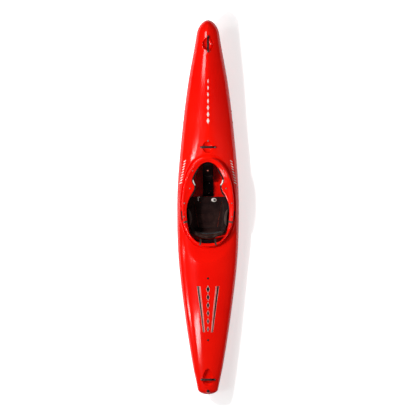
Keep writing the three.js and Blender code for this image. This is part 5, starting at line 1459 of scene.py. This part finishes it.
def stripe(name, centre, widths, lift, columns=5):
    """A thin printed band that follows the deck, from points in plan and half widths."""
    centre = np.asarray(centre, float)
    run = np.concatenate([[0], np.cumsum(np.linalg.norm(np.diff(centre, axis=0), axis=1))])
    count = max(8, int(run[-1] / 0.008))
    at = np.linspace(0, run[-1], count)
    half = np.interp(at, np.linspace(0, run[-1], len(widths)), widths)
    line = np.stack([np.interp(at, run, centre[:, k]) for k in range(2)], 1)
    for _ in range(3):
        line[1:-1] = (line[:-2] + 2 * line[1:-1] + line[2:]) / 4
    rings = []
    for k, point in enumerate(line):
        ahead = line[min(k + 1, count - 1)] - line[max(k - 1, 0)]
        ahead /= np.linalg.norm(ahead)
        side = np.array([-ahead[1], ahead[0]])
        top = []
        for j in range(columns):
            x, y = point + side * half[k] * (2 * j / (columns - 1) - 1)
            top.append((x, y, surface_height(x, y)))
        rings.append([(x, y, z + lift) for x, y, z in top] + [(x, y, z - 0.0003) for x, y, z in reversed(top)])
    piece = lofted(name, rings)
    smooth(piece, 60)
    return piece


def printed(name, bands, material):
    parts = []
    for centre, widths, lift in bands:
        parts.append(stripe(name, centre, widths, lift))
        if any(abs(x) > 0.012 for x, _ in centre):
            parts.append(stripe(name, [(-x, y) for x, y in centre], widths, lift))
    piece = joined(name, parts)
    wear(piece, material, "boat")
    return piece


def lozenge(y, half_length, half_width, lift=PRINT_LIFT):
    """One long lozenge on the centreline."""
    return ([(0, y - half_length), (0, y), (0, y + half_length)], (POINTED, half_width, POINTED), lift)


# A row of lozenges on the bow, and the same row between two stripes on the stern
bow_row = [(0.845 + 0.064 * k, 0.027 - 0.0012 * k, 0.0150 - 0.0015 * k) for k in range(7)]
printed("bow_lozenges", [lozenge(*place) for place in bow_row], print_white)
stern_row = [(-0.795 - 0.078 * k, 0.033 - 0.0022 * k, 0.0150 - 0.0013 * k) for k in range(6)]
stern_lines = [[(0.098, -0.765), (0.070, -0.985), (0.042, -1.215)], [(0.078, -0.765), (0.054, -0.985), (0.031, -1.215)]]
printed("stern_row_edge", [lozenge(y, length + 0.004, width + 0.0030, UNDER_LIFT) for y, length, width in stern_row]
        + [(stern_lines[0], (0.0105, 0.0090, 0.0060), UNDER_LIFT)], print_silver)
printed("stern_row", [lozenge(y, length - 0.002, width, OVER_LIFT) for y, length, width in stern_row]
        + [(stern_lines[0], (0.0078, 0.0064, 0.0036), OVER_LIFT)], print_black)
printed("stern_pinstripes", [(stern_lines[1], (0.0020, 0.0020, 0.0014), PRINT_LIFT)], print_silver)
dashes = []
DASH_Y, DASH_STEP = 0.458, 0.0265
for k in range(9):
    y = DASH_Y - DASH_STEP * k
    x = 0.228 + 0.040 * (DASH_Y - y) / 0.212
    dashes.append(([(x - 0.0115, y + 0.0075), (x + 0.0105, y - 0.0085)], (0.0026, 0.0046, 0.0026), PRINT_LIFT))
printed("side_dashes", dashes, print_white)

# Painted shadow: black strips in the channel, next to the side tapes, set where the lip's overhang only casts shade
SHADOW_STRIP_REAR, SHADOW_STRIP_FRONT, SHADOW_STRIP_IN, SHADOW_STRIP_LIFT, SHADOW_STRIP_HALF, SHADOW_STRIP_THICK = -0.1235, -0.026, 0.0072, 0.0034, 0.0062, 0.0060
for side, word in SIDES:
    half = [i for i in range(RIM_STATIONS) if RIM_OUTER[i][0] * side > 0]
    stations = [i for i in half if SHADOW_STRIP_REAR < RIM_OUTER[i][1] < SHADOW_STRIP_FRONT]
    stations.sort(key=lambda i: RIM_OUTER[i][1])
    path = []
    for i in stations:
        spot = RIM_OUTER[i] - RIM_OUTWARD[i] * SHADOW_STRIP_IN
        path.append((*spot, groove_floor(i) + SHADOW_STRIP_LIFT))
    shadow_strip = ribbon(f"painted_shadow_strip_{word}", path, SHADOW_STRIP_HALF, SHADOW_STRIP_THICK, across=(1, 0, 0), steps=40)
    smooth(shadow_strip, 50)
    # The black finish on these strips is painted shadow under the rim's lip, not a part of the boat
    wear(shadow_strip, black_plastic, "boat")

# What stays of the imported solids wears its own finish
for name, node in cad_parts.items():
    node.data.materials.clear()
    node.data.materials.append(stainless if "pin" in name else black_plastic)

# ---------------------------------------------------------------- floor, camera and light


FLOOR_SIZE, FLOOR_Z, PAPER_GREY, PAPER_GLOW, SKY_STRENGTH = 40, -0.001, 0.88, 0.55, 0.04
CAMERA_DISTANCE, VIEW_WIDTH, RIM_LEVEL, SENSOR = 12.0, 4.071, 0.25, 36


def studio():
    clear_selection()
    bpy.ops.mesh.primitive_plane_add(size=FLOOR_SIZE, location=(0, 0, FLOOR_Z))
    floor = bpy.context.object
    floor.name = "studio_floor"
    settle(floor)
    material, tree = node_tree("white_paper")
    out = tree.nodes.new("ShaderNodeOutputMaterial")
    paper = tree.nodes.new("ShaderNodeBsdfDiffuse")
    paper.inputs["Color"].default_value = (PAPER_GREY, PAPER_GREY, PAPER_GREY, 1)
    glow = tree.nodes.new("ShaderNodeEmission")
    glow.inputs["Strength"].default_value = PAPER_GLOW
    both = tree.nodes.new("ShaderNodeAddShader")
    path = tree.nodes.new("ShaderNodeLightPath")
    mirrored = tree.nodes.new("ShaderNodeMath")
    mirrored.operation = "MAXIMUM"
    wire(tree, path.outputs["Is Camera Ray"], mirrored.inputs[0])
    wire(tree, path.outputs["Is Glossy Ray"], mirrored.inputs[1])
    white = tree.nodes.new("ShaderNodeMath")
    white.operation = "MAXIMUM"
    wire(tree, mirrored.outputs["Value"], white.inputs[0])
    wire(tree, path.outputs["Is Transmission Ray"], white.inputs[1])
    seen = tree.nodes.new("ShaderNodeMixShader")
    wire(tree, white.outputs["Value"], seen.inputs["Fac"])
    wire(tree, paper.outputs["BSDF"], both.inputs[0])
    wire(tree, glow.outputs["Emission"], both.inputs[1])
    wire(tree, paper.outputs["BSDF"], seen.inputs[1])
    wire(tree, both.outputs["Shader"], seen.inputs[2])
    wire(tree, seen.outputs["Shader"], out.inputs["Surface"])
    floor.data.materials.append(material)
    floor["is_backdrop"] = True

    world = bpy.data.worlds.new("studio")
    bpy.context.scene.world = world
    world.use_nodes = True
    tree = world.node_tree
    tree.nodes.clear()
    out = tree.nodes.new("ShaderNodeOutputWorld")
    sky = tree.nodes.new("ShaderNodeBackground")
    sky.inputs["Color"].default_value = (1, 1, 1, 1)
    sky.inputs["Strength"].default_value = SKY_STRENGTH
    wire(tree, sky.outputs["Background"], out.inputs["Surface"])

    for name, spot, aim, size, length, power, mirrored_in_gloss in LAMPS:
        lamp = bpy.data.lights.new(name, "AREA")
        lamp.shape = "RECTANGLE"
        lamp.size, lamp.size_y = size, length
        lamp.energy = power
        holder = bpy.data.objects.new(name, lamp)
        bpy.context.scene.collection.objects.link(holder)
        holder.location = spot
        holder.visible_glossy = mirrored_in_gloss
        holder.rotation_euler = (Vector(aim) - Vector(spot)).to_track_quat("-Z", "Y").to_euler()

    camera = bpy.data.objects.new("camera", bpy.data.cameras.new("camera"))
    bpy.context.scene.collection.objects.link(camera)
    bpy.context.scene.camera = camera
    camera.data.sensor_width = SENSOR
    camera.data.lens = SENSOR * CAMERA_DISTANCE / VIEW_WIDTH
    camera.data.clip_end = 60
    camera.location = (0.0, 0.0, RIM_LEVEL + CAMERA_DISTANCE)
    bpy.context.scene.view_settings.view_transform = "Standard"


# Each lamp's name, place, aim, width, length, power, and whether glossy surfaces mirror it
LAMPS = [
    ("window_left", (-4.4, 0.0, 3.2), (0, 0, 0.2), 1.6, 6.4, 62, False),
    ("window_glow", (-4.2, 0.0, 3.4), (0, 0, 0.2), 1.2, 6.4, 18, True),
    ("bow_softbox", (-3.0, 2.0, 3.9), (0, 1.5, 0.3), 0.9, 1.2, 36, True),
    ("stern_softbox", (-2.4, -1.8, 4.5), (0, -1.3, 0.2), 0.5, 1.4, 34, True),
    ("stern_low", (-4.3, -1.7, 2.6), (0, -1.3, 0.2), 0.3, 1.0, 18, True),
    ("skylight_left", (-2.15, 0.4, 3.6), (0.05, 0.25, 0.1), 0.28, 0.34, 118, False),
    ("rim_spark", (-3.2, 0.71, 3.6), (-0.14, 0.5, 0.3), 0.08, 0.8, 8, True),
    ("right_fill", (4.6, 0.2, 3.4), (0, 0.2, 0.2), 2.0, 5.6, 68, False),
    ("bow_fill", (0.0, 5.2, 3.6), (0, 0.6, 0.2), 3.0, 1.6, 38, False),
    ("stern_fill", (0.0, -5.2, 3.6), (0, -0.6, 0.2), 3.0, 1.6, 10, False),
]
studio()

low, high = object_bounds()
